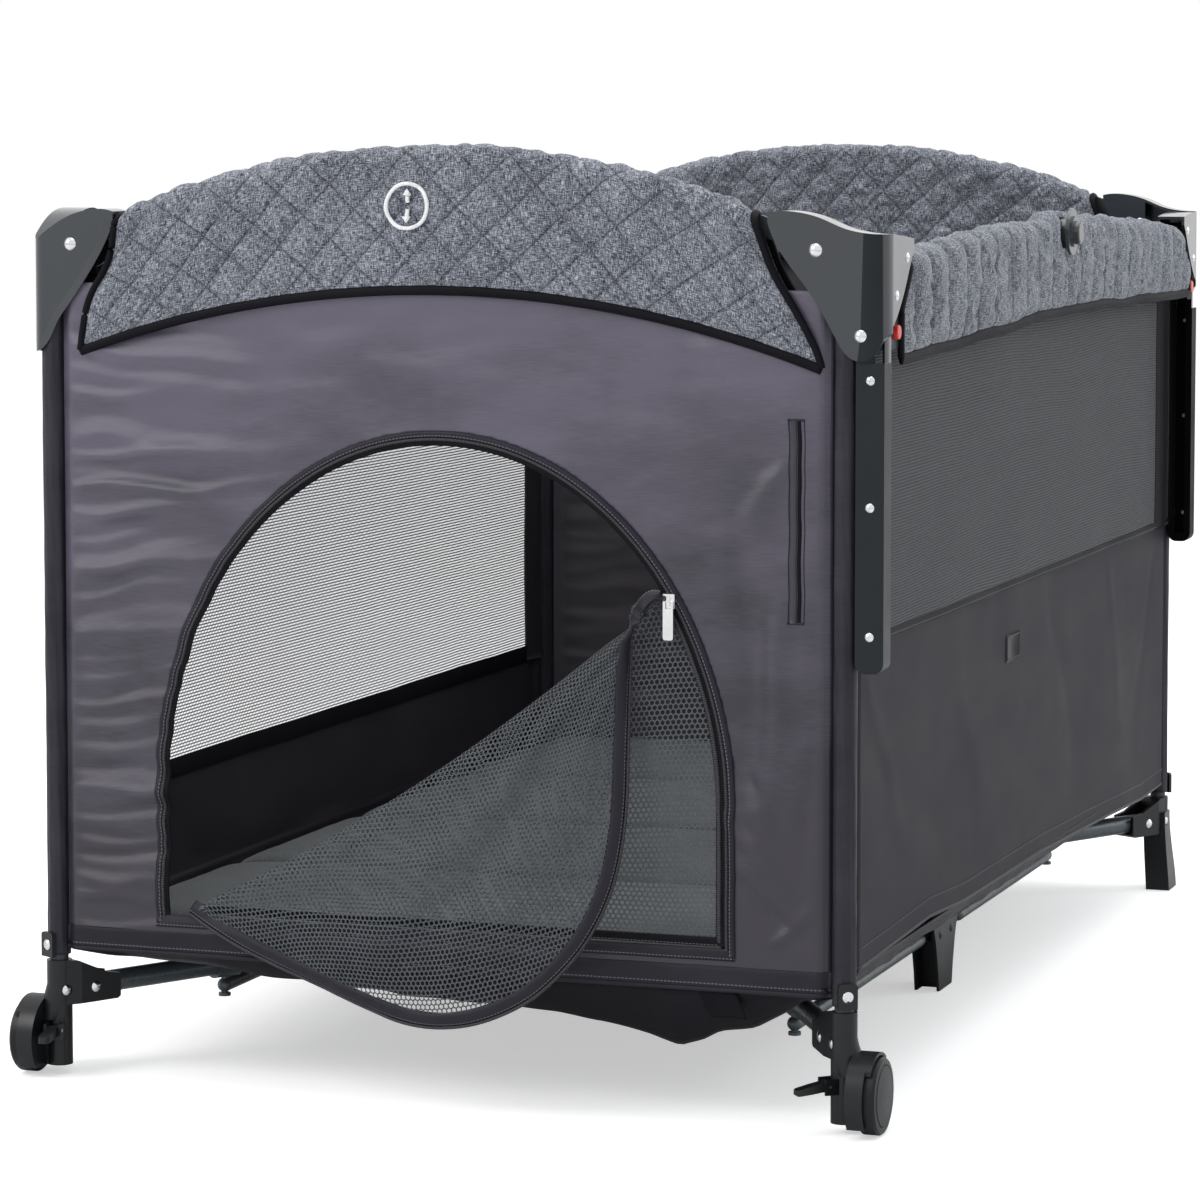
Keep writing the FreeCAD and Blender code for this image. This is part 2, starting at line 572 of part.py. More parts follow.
# ---- top rails ----
def short_rail(sx, sy):
    """Half of an arched end rail: a flat bar with a drop lug at the latch."""
    y0 = sy * YL + (0.4 if sx > 0 else -0.4 - BAR_T)
    y1 = y0 + BAR_T
    ring = rod(ARCH_R + BAR_HALF, (0, y0, ARCH_ZC), (0, y1, ARCH_ZC))
    ring = ring.cut(rod(ARCH_R - BAR_HALF, (0, y0 - 1, ARCH_ZC), (0, y1 + 1, ARCH_ZC)))
    ring = ring.common(box(R1, XL - C1, y0 - 1, y1 + 1, 600, 900))
    eye = rod(BAR_HALF + 0.3, (XL - C1, y0, TOP_Z), (XL - C1, y1, TOP_Z))
    lug = box(R1 - 8, R1 + 8, y0, y1, TOP_Z, 794)
    foot = rod(8, (R1, y0, TOP_Z), (R1, y1, TOP_Z))
    body = fuse(ring, eye, lug, foot)
    for x in (R1, XL - C1):
        body = body.cut(rod(PIN_R + PIN_FIT, (x, y0 - 5, TOP_Z), (x, y1 + 5, TOP_Z)))
    if sx < 0:
        body = body.mirror(V(0, 0, 0), V(1, 0, 0))
    return body


def short_latch(sy):
    """Centre latch of an end rail: two plates with a floor, open above, and a stub pin in each."""
    yc = sy * YL
    half = [(26, 706.5), (30, 712), (30, 780), (20, 796)]
    side = half + [(-x, z) for x, z in half[::-1]]
    plates = [plate(side, "y", yc + s0, yc + s1) for s0, s1 in ((-9.7, -7.0), (7.0, 9.7))]
    floor = box(-26, 26, yc - 9.7, yc + 9.7, 706.5, 709.5)
    body = fuse(*plates, floor)
    pins = [rod(PIN_R, (s * R1, yc, TOP_Z), (s * R1, yc + s * 9.7, TOP_Z)) for s in (-1, 1)]
    return [body.cut(fuse(*pins))] + pins


def long_rail(x, sy):
    """Half of a long rail: a straight tube with rounded plugs on its two pivots."""
    y0 = sy * (YL - C2)
    y1 = sy * R2
    body = fuse(rod(RAIL_R, (x, y0, SIDE_Z), (x, y1, SIDE_Z)),
                Part.makeSphere(RAIL_R, V(x, y0, SIDE_Z)), Part.makeSphere(RAIL_R, V(x, y1, SIDE_Z)))
    body = body.cut(rod(RAIL_R - 1.2, (x, y0 - sy * 20, SIDE_Z), (x, y1 + sy * 20, SIDE_Z)))
    for y in (y0, y1):
        body = body.cut(rod(PIN_R + PIN_FIT, (x - 20, y, SIDE_Z), (x + 20, y, SIDE_Z)))
    return body


def long_latch(x, s):
    """Centre latch of a long rail, with the round button seat on its outer side (s)."""
    body = box(x - 12, x + 12, -R2 - 10, R2 + 10, 699.5, 722)
    crown = box(x - 12, x + 12, -13.5, 13.5, 710, 736)
    body = fuse(body, crown)
    for sy in (1, -1):
        ends = sorted((sy * 14.5, sy * 60))
        body = body.cut(box(x - 8.3, x + 8.3, *ends, 703.6, 740))
    stem = rod(14, (x + s * 10, 0, 724), (x + s * 18.2, 0, 724))
    flange = rod(22, (x + s * 18.2, 0, 726), (x + s * 21.2, 0, 726))
    ring = rod(14.5, (x + s * 21, 0, 726), (x + s * 23.4, 0, 726))
    body = fuse(body, stem, flange, ring)
    body = body.cut(rod(11.15, (x + s * 12.5, 0, 725), (x + s * 30, 0, 725)))
    for sy in (1, -1):
        body = body.cut(rod(PIN_R, (x - 20, sy * R2, SIDE_Z), (x + 20, sy * R2, SIDE_Z)))
    pins = [rod(PIN_R, (x - 12, sy * R2, SIDE_Z), (x + 12, sy * R2, SIDE_Z)) for sy in (1, -1)]
    return [body] + pins


def latch_button(x, s):
    knob = rod(11, (x + s * 18.5, 0, 725), (x + s * 29, 0, 725))
    return knob.makeFillet(1.6, [e for e in knob.Edges if abs(e.CenterOfMass.x - x - s * 29) < 0.01])


# ---- fabric ----
def door_face(grow, y0, y1):
    a, b, z0, z1 = 262 + grow, 307 + grow, 145 - grow, 260
    arch = Part.Ellipse(V(0, y0, z1 + b), V(a, y0, z1), V(0, y0, z1))
    whole = Part.Face(Part.Wire(arch.toShape())).extrude(V(0, y1 - y0, 0))
    upper = whole.common(box(-400, 400, y0, y1, z1, 900))
    return fuse(upper, box(-a, a, y0, y1, z0, z1))


def sleeve(sx, sy):
    return pipe(SLEEVE_R1, SLEEVE_R1 - SLEEVE_R0, (sx * XL, sy * YL, 105), (sx * XL, sy * YL, PANEL_TOP))


def end_wall(sy):
    y_out = sy * (YL + SLEEVE_R1)
    y_in = sy * (YL + SLEEVE_R1 - SHEET)
    wall = box(-XL, XL, min(y_out, y_in), max(y_out, y_in), HEM_Z, PANEL_TOP)
    for sx in (-1, 1):
        wall = wall.cut(rod(SLEEVE_R0, (sx * XL, sy * YL, 50), (sx * XL, sy * YL, 750)))
    wall = fuse(wall, sleeve(-1, sy), sleeve(1, sy))
    if sy < 0:
        wall = wall.cut(door_face(0, y_out - 5, y_in + 5))
    return wall


def side_sheet(sx, off0, off1, y_end, z0, z1):
    x0, x1 = sx * (XL + off0), sx * (XL + off1)
    return box(min(x0, x1), max(x0, x1), -y_end, y_end, z0, z1)


FOLD_P1 = (-247.0, 152.0)      # fold line of the open door, lower left end
FOLD_P2 = (190.0, 436.0)       # and its upper right end, near the slider


def door_parts():
    """The part of the mesh door still in the doorway, and the part folded out over the fold line."""
    y0 = -(YL + SLEEVE_R1 - 0.2)
    face = door_face(-0.4, y0, y0 + 1.1)
    dx, dz = FOLD_P2[0] - FOLD_P1[0], FOLD_P2[1] - FOLD_P1[1]
    n = math.hypot(dx, dz)
    ux, uz = dx / n, dz / n
    far = 700
    a = (FOLD_P1[0] - far * ux, FOLD_P1[1] - far * uz)
    b = (FOLD_P2[0] + far * ux, FOLD_P2[1] + far * uz)
    c = (b[0] - far * uz, b[1] + far * ux)
    d = (a[0] - far * uz, a[1] + far * ux)
    above = plate([a, b, c, d], "y", y0 - 5, y0 + 5)
    closed = face.cut(above)
    opened = face.common(above)
    opened = turn(opened, 180 - 13, (ux, 0, uz), (FOLD_P1[0], y0 - 1.6, FOLD_P1[1]))
    opened = opened.cut(box(199, 260, -660, y0 - 0.4, 396, 460))
    return [max(closed.Solids, key=lambda s: s.Volume), max(opened.Solids, key=lambda s: s.Volume)]


def zip_slider():
    body = box(203, 213, -639.5, -635.3, 428, 440)
    lug = box(206.6, 209.4, -641.2, -639, 430, 438)
    return fuse(body, lug).cut(rod(1.0, (200, -640.3, 434), (220, -640.3, 434)))


def zip_pull():
    tab = box(203.6, 212.4, -641.6, -640.2, 402, 434)
    low = [e for e in tab.Edges if e.CenterOfMass.z < 410]
    tab = tab.makeFillet(2.0, [e for e in low if abs(e.tangentAt(e.FirstParameter).y) > 0.9])
    tab = tab.cut(box(205.6, 210.4, -650, -630, 428, 440))
    bar = rod(0.8, (203.6, -640.3, 434), (212.4, -640.3, 434))
    return fuse(tab, bar)


def end_quilt(sy):
    """Padded arch cover over an end rail, open below."""
    yc = sy * YL
    top_zc, top_r = 812 - 754.0, 754.0
    low_zc, low_r = 688 - 967.8, 967.8
    right = [(337, 600), (337, 632), (317, 671), (295, 704), (275, 756), (272, 900)]
    left = [(-287, 900), (-289, 753), (-294, 710), (-316, 676), (-324, 632), (-324, 600)]
    block = plate(right + left, "y", yc - 17.4, yc + 17.4)
    body = block.common(rod(top_r, (0, yc - 20, top_zc), (0, yc + 20, top_zc)))
    body = body.cut(rod(low_r, (0, yc - 20, low_zc), (0, yc + 20, low_zc)))
    body = body.cut(rod(top_r - 5, (0, yc - 12.4, top_zc), (0, yc + 12.4, top_zc)))
    return body


def long_quilt(x, s, inner_z):
    """Padded cover over a long rail; its outer skirt has a hole for the button stem."""
    y_end = YL - (34 if s > 0 else 67)
    top_r = (558 ** 2 + 21 ** 2) / 42.0
    zc = 746 - top_r
    body = box(x - 17.8, x + 17.8, -y_end, y_end, 600, 800)
    body = body.common(rod(top_r, (x - 30, 0, zc), (x + 30, 0, zc)))
    body = body.cut(rod(top_r - 4.6, (x - 12.7, 0, zc), (x + 12.7, 0, zc)))
    body = body.cut(box(x - 12.7, x + 12.7, -y_end - 1, y_end + 1, 590, 715))
    body = body.cut(rod(top_r, (x - 30, 0, 656 - top_r), (x + 30, 0, 656 - top_r)))
    inner0, inner1 = (x - 20, x) if s > 0 else (x, x + 20)
    body = body.cut(box(inner0, inner1, -y_end - 1, y_end + 1, 590, inner_z))
    if s > 0:
        wing = [(-15, 800), (73, 800), (73, 719), (62, 707), (47, 689), (34, 674), (14, 655), (-15, 655)]
        for k in (1, -1):
            body = body.cut(plate([(k * (b - YL), z) for b, z in wing], "x", x - 20, x + 20))
            inside = sorted((k * YL, k * (YL - 73)))
            body = body.cut(box(x - 20, x, *inside, 590, 800))
        body = max(body.Solids, key=lambda part: part.Volume)
    return body.cut(rod(14.5, (x + s * 5, 0, 724), (x + s * 25, 0, 724)))


def mattress():
    parts = []
    n, gap = 4, 2.0
    length = 2 * 604.0
    step = (length + gap) / n
    for i in range(n):
        y0 = -604 + i * step
        b = box(-336, 336, y0, y0 + step - gap, 118, 146)
        parts.append(b.makeFillet(7, [e for e in b.Edges if abs(e.CenterOfMass.z - 146) < 0.01]))
    return parts


def build():
    levers = {"fl": (0.10, -0.995), "fr": (0.75, -0.66)}
    for name in CORNERS:
        drop = name in ("fr", "br")
        out("leg_tube_" + name, at_corner(leg_tube(), name))
        shell = cap(drop)
        extra = [track()] if drop else []
        out("cap_" + name, *[at_corner(s, name) for s in [shell] + extra])
        fast = leg_fasteners(name)
        if name in levers:
            seat = brake_seat(*levers[name])
            house = fuse(caster_housing(), *seat)
            fast.append(brake_pin(*levers[name]))
            out("wheel_" + name, at_corner(wheel(), name))
            out("brake_lever_" + name, at_corner(brake_lever(*levers[name]), name))
            out("caster_housing_" + name, at_corner(house, name), at_corner(clamp_tab(), name))
        else:
            out("foot_" + name, at_corner(back_foot(), name), at_corner(clamp_tab(), name))
        out("fasteners_" + name, *[at_corner(s, name) for s in fast])
        out("base_tube_" + name, base_tube(name), brace_bracket(name))
        out("side_brace_" + name, brace(name))
        if drop:
            pin = rod(PIN_R, (-33.6, C2, SIDE_Z), (-11.4, C2, SIDE_Z))
            out("drop_carrier_" + name, at_corner(carrier(), name), at_corner(pin, name))
            out("release_button_" + name, at_corner(red_button(), name))
    out("hub", hub(), *hub_pins())
    for side, sx in (("left", -1), ("right", 1)):
        x = sx * XL - (TRACK_MID if sx > 0 else 0)
        out("mid_foot_" + side, mid_foot(sx), *mid_foot_rivets(sx))
        out("rail_%s_front" % side, long_rail(x, -1))
        out("rail_%s_back" % side, long_rail(x, 1))
        out("latch_" + side, *long_latch(x, sx))
        out("latch_button_" + side, latch_button(x, sx))
    for end, sy in (("front", -1), ("back", 1)):
        out("rail_%s_left" % end, short_rail(-1, sy))
        out("rail_%s_right" % end, short_rail(1, sy))
        out("latch_" + end, *short_latch(sy))
    sides = [side_sheet(-1, 8.2, 9.7, 619.4, SIDE_HEM, 225), side_sheet(1, 8.2, 9.7, 619.4, SIDE_HEM, 404)]
    out("walls", end_wall(-1), end_wall(1), *sides)
    out("mesh_left", side_sheet(-1, 8.2, 9.7, 619.4, 225.3, PANEL_TOP))
    out("mesh_right", side_sheet(1, 10.0, 11.2, 611.5, 398, 636))
    out("quilt_ends", end_quilt(-1), end_quilt(1))
    out("quilt_left", long_quilt(-XL, -1, 660))
    out("quilt_right", long_quilt(XL - TRACK_MID, 1, 662))
    out("floor_cloth", box(-342, 342, -612, 612, 115, 116.5))
    out("mattress", *mattress())
    out("door", *door_parts())
    out("zip_slider", zip_slider())
    out("zip_pull", zip_pull())


build()
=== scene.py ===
"""Playpen travel cot: fabric, mesh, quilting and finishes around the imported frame."""
import math

import bmesh
import bpy
import numpy as np
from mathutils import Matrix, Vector


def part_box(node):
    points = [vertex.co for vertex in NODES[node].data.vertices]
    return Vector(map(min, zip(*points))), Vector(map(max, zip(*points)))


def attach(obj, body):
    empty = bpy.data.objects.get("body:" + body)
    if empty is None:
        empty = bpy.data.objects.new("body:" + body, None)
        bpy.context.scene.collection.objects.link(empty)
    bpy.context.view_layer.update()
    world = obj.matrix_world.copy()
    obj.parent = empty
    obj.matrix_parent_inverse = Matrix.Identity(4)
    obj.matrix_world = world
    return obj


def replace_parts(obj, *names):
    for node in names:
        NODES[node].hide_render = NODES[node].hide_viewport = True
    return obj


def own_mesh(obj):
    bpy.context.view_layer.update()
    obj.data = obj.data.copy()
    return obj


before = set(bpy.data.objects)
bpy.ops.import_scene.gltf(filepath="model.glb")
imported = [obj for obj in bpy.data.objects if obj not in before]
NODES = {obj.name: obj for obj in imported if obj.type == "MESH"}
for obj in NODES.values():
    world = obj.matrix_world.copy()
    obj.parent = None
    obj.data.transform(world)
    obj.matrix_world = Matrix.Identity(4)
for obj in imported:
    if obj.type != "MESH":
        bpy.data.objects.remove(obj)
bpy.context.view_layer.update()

# ---- places: leg-centred millimetres, read from the frame ----


def middle(node, k):
    lo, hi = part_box(node)
    return (lo[k] + hi[k]) / 2


LEG = {c: (middle("leg_tube_" + c, 0), middle("leg_tube_" + c, 1)) for c in ("fl", "fr", "bl", "br")}
XC = (LEG["fl"][0] + LEG["fr"][0]) / 2
YC = (LEG["fl"][1] + LEG["bl"][1]) / 2
HX = (LEG["fr"][0] - LEG["fl"][0]) * 500      # leg axis to centre, mm
HY = (LEG["bl"][1] - LEG["fl"][1]) * 500
DROP_X = (middle("rail_right_front", 0) - XC) * 1000
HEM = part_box("walls")[0][2] * 1000 + 8        # lower edge of the end walls; the sleeves reach lower
PANEL_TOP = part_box("walls")[1][2] * 1000
WINDOW_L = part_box("mesh_left")[0][2] * 1000
WINDOW_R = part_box("mesh_right")[0][2] * 1000 + 6
SLEEVE_R = 9.7
SIM_FRAMES = 20                               # of the cloth simulation that fills out the covers
# side of the cot: (body its cloth rides on, direction it gathers in when folding, leg it gathers to)
RIDE = {
    "front": ("corner_fl", (1, 0, 0), "fl"),
    "left": ("corner_fl", (0, 1, 0), "fl"),
    "right": ("corner_fr", (0, 1, 0), "fr"),
    "drop": ("carrier_fr", (0, 1, 0), "fr"),
    "back": ("corner_bl", (1, 0, 0), "bl"),
}


def metres(p):
    """Leg-centred millimetres to the frame's metres."""
    return np.asarray(p, float) * 0.001 + np.array([XC, YC, 0.0])


# ---- noise and lines ----
RNG = np.random.default_rng(11)
PERM = RNG.permutation(256)


def noise(x, y, seed=0):
    """Gradient noise, about -1 to 1, with waves a unit or two long, so x / 60 makes them 60 mm or more."""
    x, y = np.broadcast_arrays(np.asarray(x, float) + 17.3 * seed, np.asarray(y, float) + 5.1 * seed)
    xi, yi = np.floor(x).astype(int), np.floor(y).astype(int)
    fx, fy = x - xi, y - yi
    su, sv = fx ** 3 * (fx * (fx * 6 - 15) + 10), fy ** 3 * (fy * (fy * 6 - 15) + 10)

    def corner(i, j):
        a = PERM[(PERM[(xi + i) & 255] + yi + j) & 255] * (math.tau / 256)
        return np.cos(a) * (fx - i) + np.sin(a) * (fy - j)

    low = corner(0, 0) * (1 - su) + corner(1, 0) * su
    high = corner(0, 1) * (1 - su) + corner(1, 1) * su
    return 1.5 * (low * (1 - sv) + high * sv)


def ridged(x, y, seed=0):
    return 1 - np.abs(noise(x, y, seed)) * 2


def smooth(a, b, x):
    t = np.clip((x - a) / (b - a), 0, 1)
    return t * t * (3 - 2 * t)


def unit(v):
    return v / np.maximum(np.linalg.norm(v, axis=-1, keepdims=True), 1e-9)


def run_along(line):
    """Distance from a line's first point to each of its points."""
    return np.concatenate([[0], np.cumsum(np.linalg.norm(np.diff(line, axis=0), axis=1))])


def spaced(line, n):
    """n points spaced evenly along a line."""
    run = run_along(line)
    at = np.linspace(0, run[-1], n)
    return np.stack([np.interp(at, run, line[:, k]) for k in range(line.shape[1])], 1)


def lined(n, a, b):
    return np.stack([np.linspace(a[0], b[0], n), np.linspace(a[1], b[1], n)], 1)


def facing(p, normal):
    """Points that all have the same outward normal."""
    return p, np.broadcast_to(np.array(normal, float), p.shape)


# ---- meshes ----
def build(name, pts, faces, uv, mats, face_mat=None):
    me = bpy.data.meshes.new(name)
    me.from_pydata(metres(pts).tolist(), [], faces)
    me.validate()
    layer = me.uv_layers.new(name="UVMap")
    index = np.zeros(len(me.loops), np.int32)
    me.loops.foreach_get("vertex_index", index)
    layer.data.foreach_set("uv", (np.asarray(uv, float)[index] * 0.001).astype(np.float32).ravel())
    me.polygons.foreach_set("use_smooth", np.ones(len(me.polygons), bool))
    for m in mats:
        me.materials.append(m)
    if face_mat is not None:
        me.polygons.foreach_set("material_index", np.asarray(face_mat, np.int32))
    me.update()
    obj = bpy.data.objects.new(name, me)
    bpy.context.scene.collection.objects.link(obj)
    return obj


def quads(nv, nu, closed_u=False, keep=None):
    cols = nu if closed_u else nu - 1
    i = np.arange(nv - 1)[:, None] * nu
    j = np.arange(cols)[None, :]
    k = (j + 1) % nu
    f = np.stack([i + j, i + k, i + nu + k, i + nu + j], -1).reshape(-1, 4)
    if keep is not None:
        f = f[keep.ravel()[f].all(1)]
    return f.tolist()


def surface(name, pts, uv, mats, closed_u=False, keep=None, thick=0.0, flip=False):
    """A grid of points (nv, nu, 3) as one sheet. thick adds a second skin on the inner side."""
    nv, nu = pts.shape[:2]
    faces = quads(nv, nu, closed_u, keep)
    if flip:
        faces = [f[::-1] for f in faces]
    obj = build(name, pts.reshape(-1, 3), faces, uv.reshape(-1, 2), mats)
    if keep is not None:
        drop_loose(obj)
    if thick:
        m = obj.modifiers.new("Solidify", "SOLIDIFY")
        m.thickness = thick * 0.001
        m.offset = -1
        m.material_offset = len(mats) - 1
    return obj


def drop_loose(obj):
    """Deletes the points that no face uses."""
    bm = bmesh.new()
    bm.from_mesh(obj.data)
    bmesh.ops.delete(bm, geom=[v for v in bm.verts if not v.link_faces], context="VERTS")
    bm.to_mesh(obj.data)
    bm.free()


def ends(nv, nu):
    """The two end faces of a tube of nv rings with nu points each."""
    return [list(range(nu)), list(range((nv - 1) * nu, nv * nu))[::-1]]


def band(name, S, line, section, mats, closed=False):
    """A strip that follows a line on a surface. S maps (a, b) to points and outward normals;
    section lists (offset across, height above the surface)."""
    line, sec = np.asarray(line, float), np.asarray(section, float)
    d = unit(np.roll(line, -1, 0) - np.roll(line, 1, 0) if closed else np.gradient(line, axis=0))
    side = np.stack([-d[:, 1], d[:, 0]], 1)
    run = run_along(np.concatenate([line, line[:1] if closed else line[-1:]]))
    pts, uv = [], []
    for (o, h), w in zip(sec, run_along(sec)):
        at = line + side * o
        p, n = S(at[:, 0], at[:, 1])
        pts.append(p + n * h)
        uv.append(np.stack([run[:-1], np.full(len(line), w)], 1))
    pts, uv = np.array(pts).transpose(1, 0, 2), np.array(uv).transpose(1, 0, 2)
    if closed:
        pts, uv = np.concatenate([pts, pts[:1]]), np.concatenate([uv, uv[:1] + [run[-1], 0]])
    nv, nu = pts.shape[:2]
    faces = quads(nv, nu, True) + ([] if closed else ends(nv, nu))
    return build(name, pts.reshape(-1, 3), faces, uv.reshape(-1, 2), mats)


def rounded(w0, w1, h, base=-0.3, n=7):
    """Cross-section of a soft binding from offset w0 to w1, h high."""
    t = np.linspace(0, math.pi, n)
    mid, half = (w0 + w1) / 2, (w1 - w0) / 2
    top = [(mid - half * math.cos(a) * 0.999, base + (h - base) * math.sin(a) ** 0.6) for a in t]
    return top + [(w1 * 0.98 + w0 * 0.02, base - 0.2), (w0 * 0.98 + w1 * 0.02, base - 0.2)]


def soft(obj, side):
    """Cloth that rides on its side of the frame: it hangs on that side's body and gets a mesh of its own."""
    body, axis, leg = RIDE[side]
    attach(obj, body)
    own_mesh(obj)
    return obj


def trim(name, S, line, section, mat, side="front", closed=False):
    """A strip of trim sewn on a surface."""
    return soft(band(name, S, line, section, [mat.m], closed), side)


# ---- materials ----
QUILT_PITCH, CHANNEL_PITCH = 46, 55           # mm between the seams of the end covers and of the long covers
STITCHES = 330                                # per metre of their seams


def srgb(*rgb):
    """Linear colour from screen values of 0 to 255."""
    return tuple(c / 12.92 if c <= 0.04045 else ((c + 0.055) / 1.055) ** 2.4 for c in (v / 255 for v in rgb)) + (1,)


def darker(color, share):
    return tuple(c * share for c in color[:3]) + (1,)


class Mat:
    """A small helper round one node tree."""

    def __init__(self, name, color, rough, **sockets):
        self.m = bpy.data.materials.new(name)
        self.m.use_nodes = True
        self.t = self.m.node_tree
        self.t.nodes.clear()
        self.out = self.t.nodes.new("ShaderNodeOutputMaterial")
        self.b = self.t.nodes.new("ShaderNodeBsdfPrincipled")
        self.t.links.new(self.b.outputs[0], self.out.inputs[0])
        self.b.inputs["Base Color"].default_value = color
        self.b.inputs["Roughness"].default_value = rough
        for k, v in sockets.items():
            self.b.inputs[k.replace("_", " ")].default_value = v

    @classmethod
    def copy_of(cls, other, name):
        m = cls.__new__(cls)
        m.m = other.m.copy()
        m.m.name = name
        m.t = m.m.node_tree
        m.b = next(n for n in m.t.nodes if n.type == "BSDF_PRINCIPLED")
        return m

    def node(self, kind, **props):
        n = self.t.nodes.new("ShaderNode" + kind)
        for k, v in props.items():
            setattr(n, k, v)
        return n

    def put(self, sock, value):
        if isinstance(value, bpy.types.NodeSocket):
            self.t.links.new(value, sock)
        else:
            sock.default_value = value

    def math(self, op, *values):
        n = self.node("Math", operation=op)
        for s, v in zip(n.inputs, values):
            self.put(s, v)
        return n.outputs[0]

    def add(self, a, b):
        return self.math("ADD", a, b)

    def sub(self, a, b):
        return self.math("SUBTRACT", a, b)

    def mul(self, a, b):
        return self.math("MULTIPLY", a, b)

    def gap(self, a, b):
        """How far apart two values are."""
        return self.math("ABSOLUTE", self.sub(a, b))

    def saw(self, v, rate, shift=0.0):
        """Rises from 0 to 1, rate times per unit of v."""
        return self.math("FRACT", self.add(self.mul(v, rate), shift))

    def greatest(self, values):
        top = values[0]
        for v in values[1:]:
            top = self.math("MAXIMUM", top, v)
        return top

    def uv(self):
        return self.node("TexCoord").outputs["UV"]

    def obj(self):
        return self.node("TexCoord").outputs["Object"]

    def scaled(self, vec, s):
        n = self.node("Mapping")
        self.put(n.inputs["Vector"], vec)
        n.inputs["Scale"].default_value = s
        return n.outputs[0]

    def noise(self, vec, scale, detail=3.0, rough=0.55):
        n = self.node("TexNoise")
        self.put(n.inputs["Vector"], vec)
        n.inputs["Scale"].default_value = scale
        n.inputs["Detail"].default_value = detail
        n.inputs["Roughness"].default_value = rough
        return n.outputs["Fac"]

    def wave(self, vec, scale, direction):
        n = self.node("TexWave", wave_type="BANDS", bands_direction=direction)
        self.put(n.inputs["Vector"], vec)
        n.inputs["Scale"].default_value = scale
        return n.outputs["Fac"]

    def split(self, vec):
        n = self.node("SeparateXYZ")
        self.put(n.inputs[0], vec)
        return n.outputs

    def range(self, v, a, b, c=0.0, d=1.0):
        n = self.node("MapRange")
        self.put(n.inputs[0], v)
        for k, x in zip((1, 2, 3, 4), (a, b, c, d)):
            self.put(n.inputs[k], x)
        return n.outputs[0]

    def mix(self, fac, a, b):
        n = self.node("Mix", data_type="RGBA")
        self.put(n.inputs[0], fac)
        self.put(n.inputs[6], a)
        self.put(n.inputs[7], b)
        return n.outputs[2]

    def color(self, value):
        self.put(self.b.inputs["Base Color"], value)
        return self

    def rough(self, value):
        self.put(self.b.inputs["Roughness"], value)
        return self

    def bump(self, height, dist, strength=1.0):
        n = self.node("Bump")
        n.inputs["Strength"].default_value = strength
        n.inputs["Distance"].default_value = dist
        self.put(n.inputs["Height"], height)
        if self.b.inputs["Normal"].is_linked:
            self.put(n.inputs["Normal"], self.b.inputs["Normal"].links[0].from_socket)
        self.put(self.b.inputs["Normal"], n.outputs[0])
        return self


def satin(name, lit, dark, rough=0.42, shade=None, shine=0.5, sheen=0.1):
    """Smooth woven cloth with a soft sheen; shade is (x, z, start) for painted shade, a tone that slopes over the wall.
    """
    m = Mat(name, lit, rough, Sheen_Weight=sheen, Sheen_Roughness=0.35, Specular_IOR_Level=shine)
    u = m.uv()
    cloud = m.noise(m.scaled(u, (3, 7, 1)), 2.0, 4)
    thread = m.noise(m.scaled(u, (60, 1400, 1)), 1.0, 2)
    tone = m.add(m.mul(cloud, 0.7), m.mul(thread, 0.3))
    # painted shade: the tone slopes with x and z over the wall, so some parts are painted lighter, others darker
    if shade:
        x, z, _ = m.split(u)
        tone = m.add(tone, m.add(m.add(m.mul(x, shade[0]), m.mul(z, shade[1])), shade[2]))
    m.color(m.mix(m.range(tone, 0.3, 0.7), dark, lit))
    m.rough(m.range(cloud, 0.3, 0.7, rough - 0.05, rough + 0.07))
    m.bump(m.add(m.wave(u, 330, "X"), m.wave(u, 330, "Y")), 0.00006)
    return m


def melange(name, dark, mid, light, stitch=(), wide=1.5):
    """Soft two-tone cloth of dark and light threads. stitch lists seams as (a, b, period): they run where
    a*x + b*y is a whole number of periods, in mm. A seam is dark stitching with painted shade in its sunken groove
    and a band of painted shade beside it; wide sets their width."""
    m = Mat(name, mid, 0.86, Sheen_Weight=0.22, Sheen_Roughness=0.5, Specular_IOR_Level=0.2)
    u = m.uv()
    warp = m.noise(m.scaled(u, (1700, 170, 1)), 1.0, 2, 0.6)
    weft = m.noise(m.scaled(u, (170, 1700, 1)), 1.0, 2, 0.6)
    fleck = m.noise(m.scaled(u, (700, 700, 1)), 1.0, 3, 0.7)
    cloud = m.noise(m.scaled(u, (14, 14, 1)), 1.0, 4)
    height = m.add(warp, weft)
    tone = m.add(m.mul(height, 0.42), m.mul(fleck, 0.16))
    tone = m.add(tone, m.mul(m.sub(cloud, 0.5), 0.08))
    c = m.mix(m.range(tone, 0.42, 0.5), dark, mid)
    c = m.mix(m.range(tone, 0.5, 0.59), c, light)
    lines, seam_shade = [], []
    for a, b, period in stitch:
        x, y, _ = m.split(u)
        count = m.add(m.mul(x, a / period * 1000), m.mul(y, b / period * 1000))
        along = m.add(m.mul(x, -b), m.mul(y, a))
        off = m.gap(m.math("FRACT", m.add(count, 0.5)), 0.5)
        # the groove line: dark stitching, and painted shade in the sunken seam
        groove = m.range(off, 0.0, 0.8 * wide / period, 1.0, 0.0)
        dash = m.range(m.saw(along, STITCHES), 0.55, 0.75, 1.0, 0.25)
        lines.append(m.mul(m.math("POWER", groove, 1.5), dash))
        # painted shade in a band beside each seam
        seam_shade.append(m.range(off, 0.0, 3.2 * wide / period, 0.13 * wide, 0.0))
    if stitch:
        line = m.greatest(lines)
        # painted shade beside the seams, then the seam lines: dark stitching with painted shade in their grooves
        c = m.mix(m.greatest(seam_shade), c, dark)
        c = m.mix(m.mul(line, 0.8), c, darker(dark, 0.28))
        height = m.sub(height, m.mul(line, 2.5))
    m.color(c)
    m.bump(height, 0.00022, 0.8)
    return m


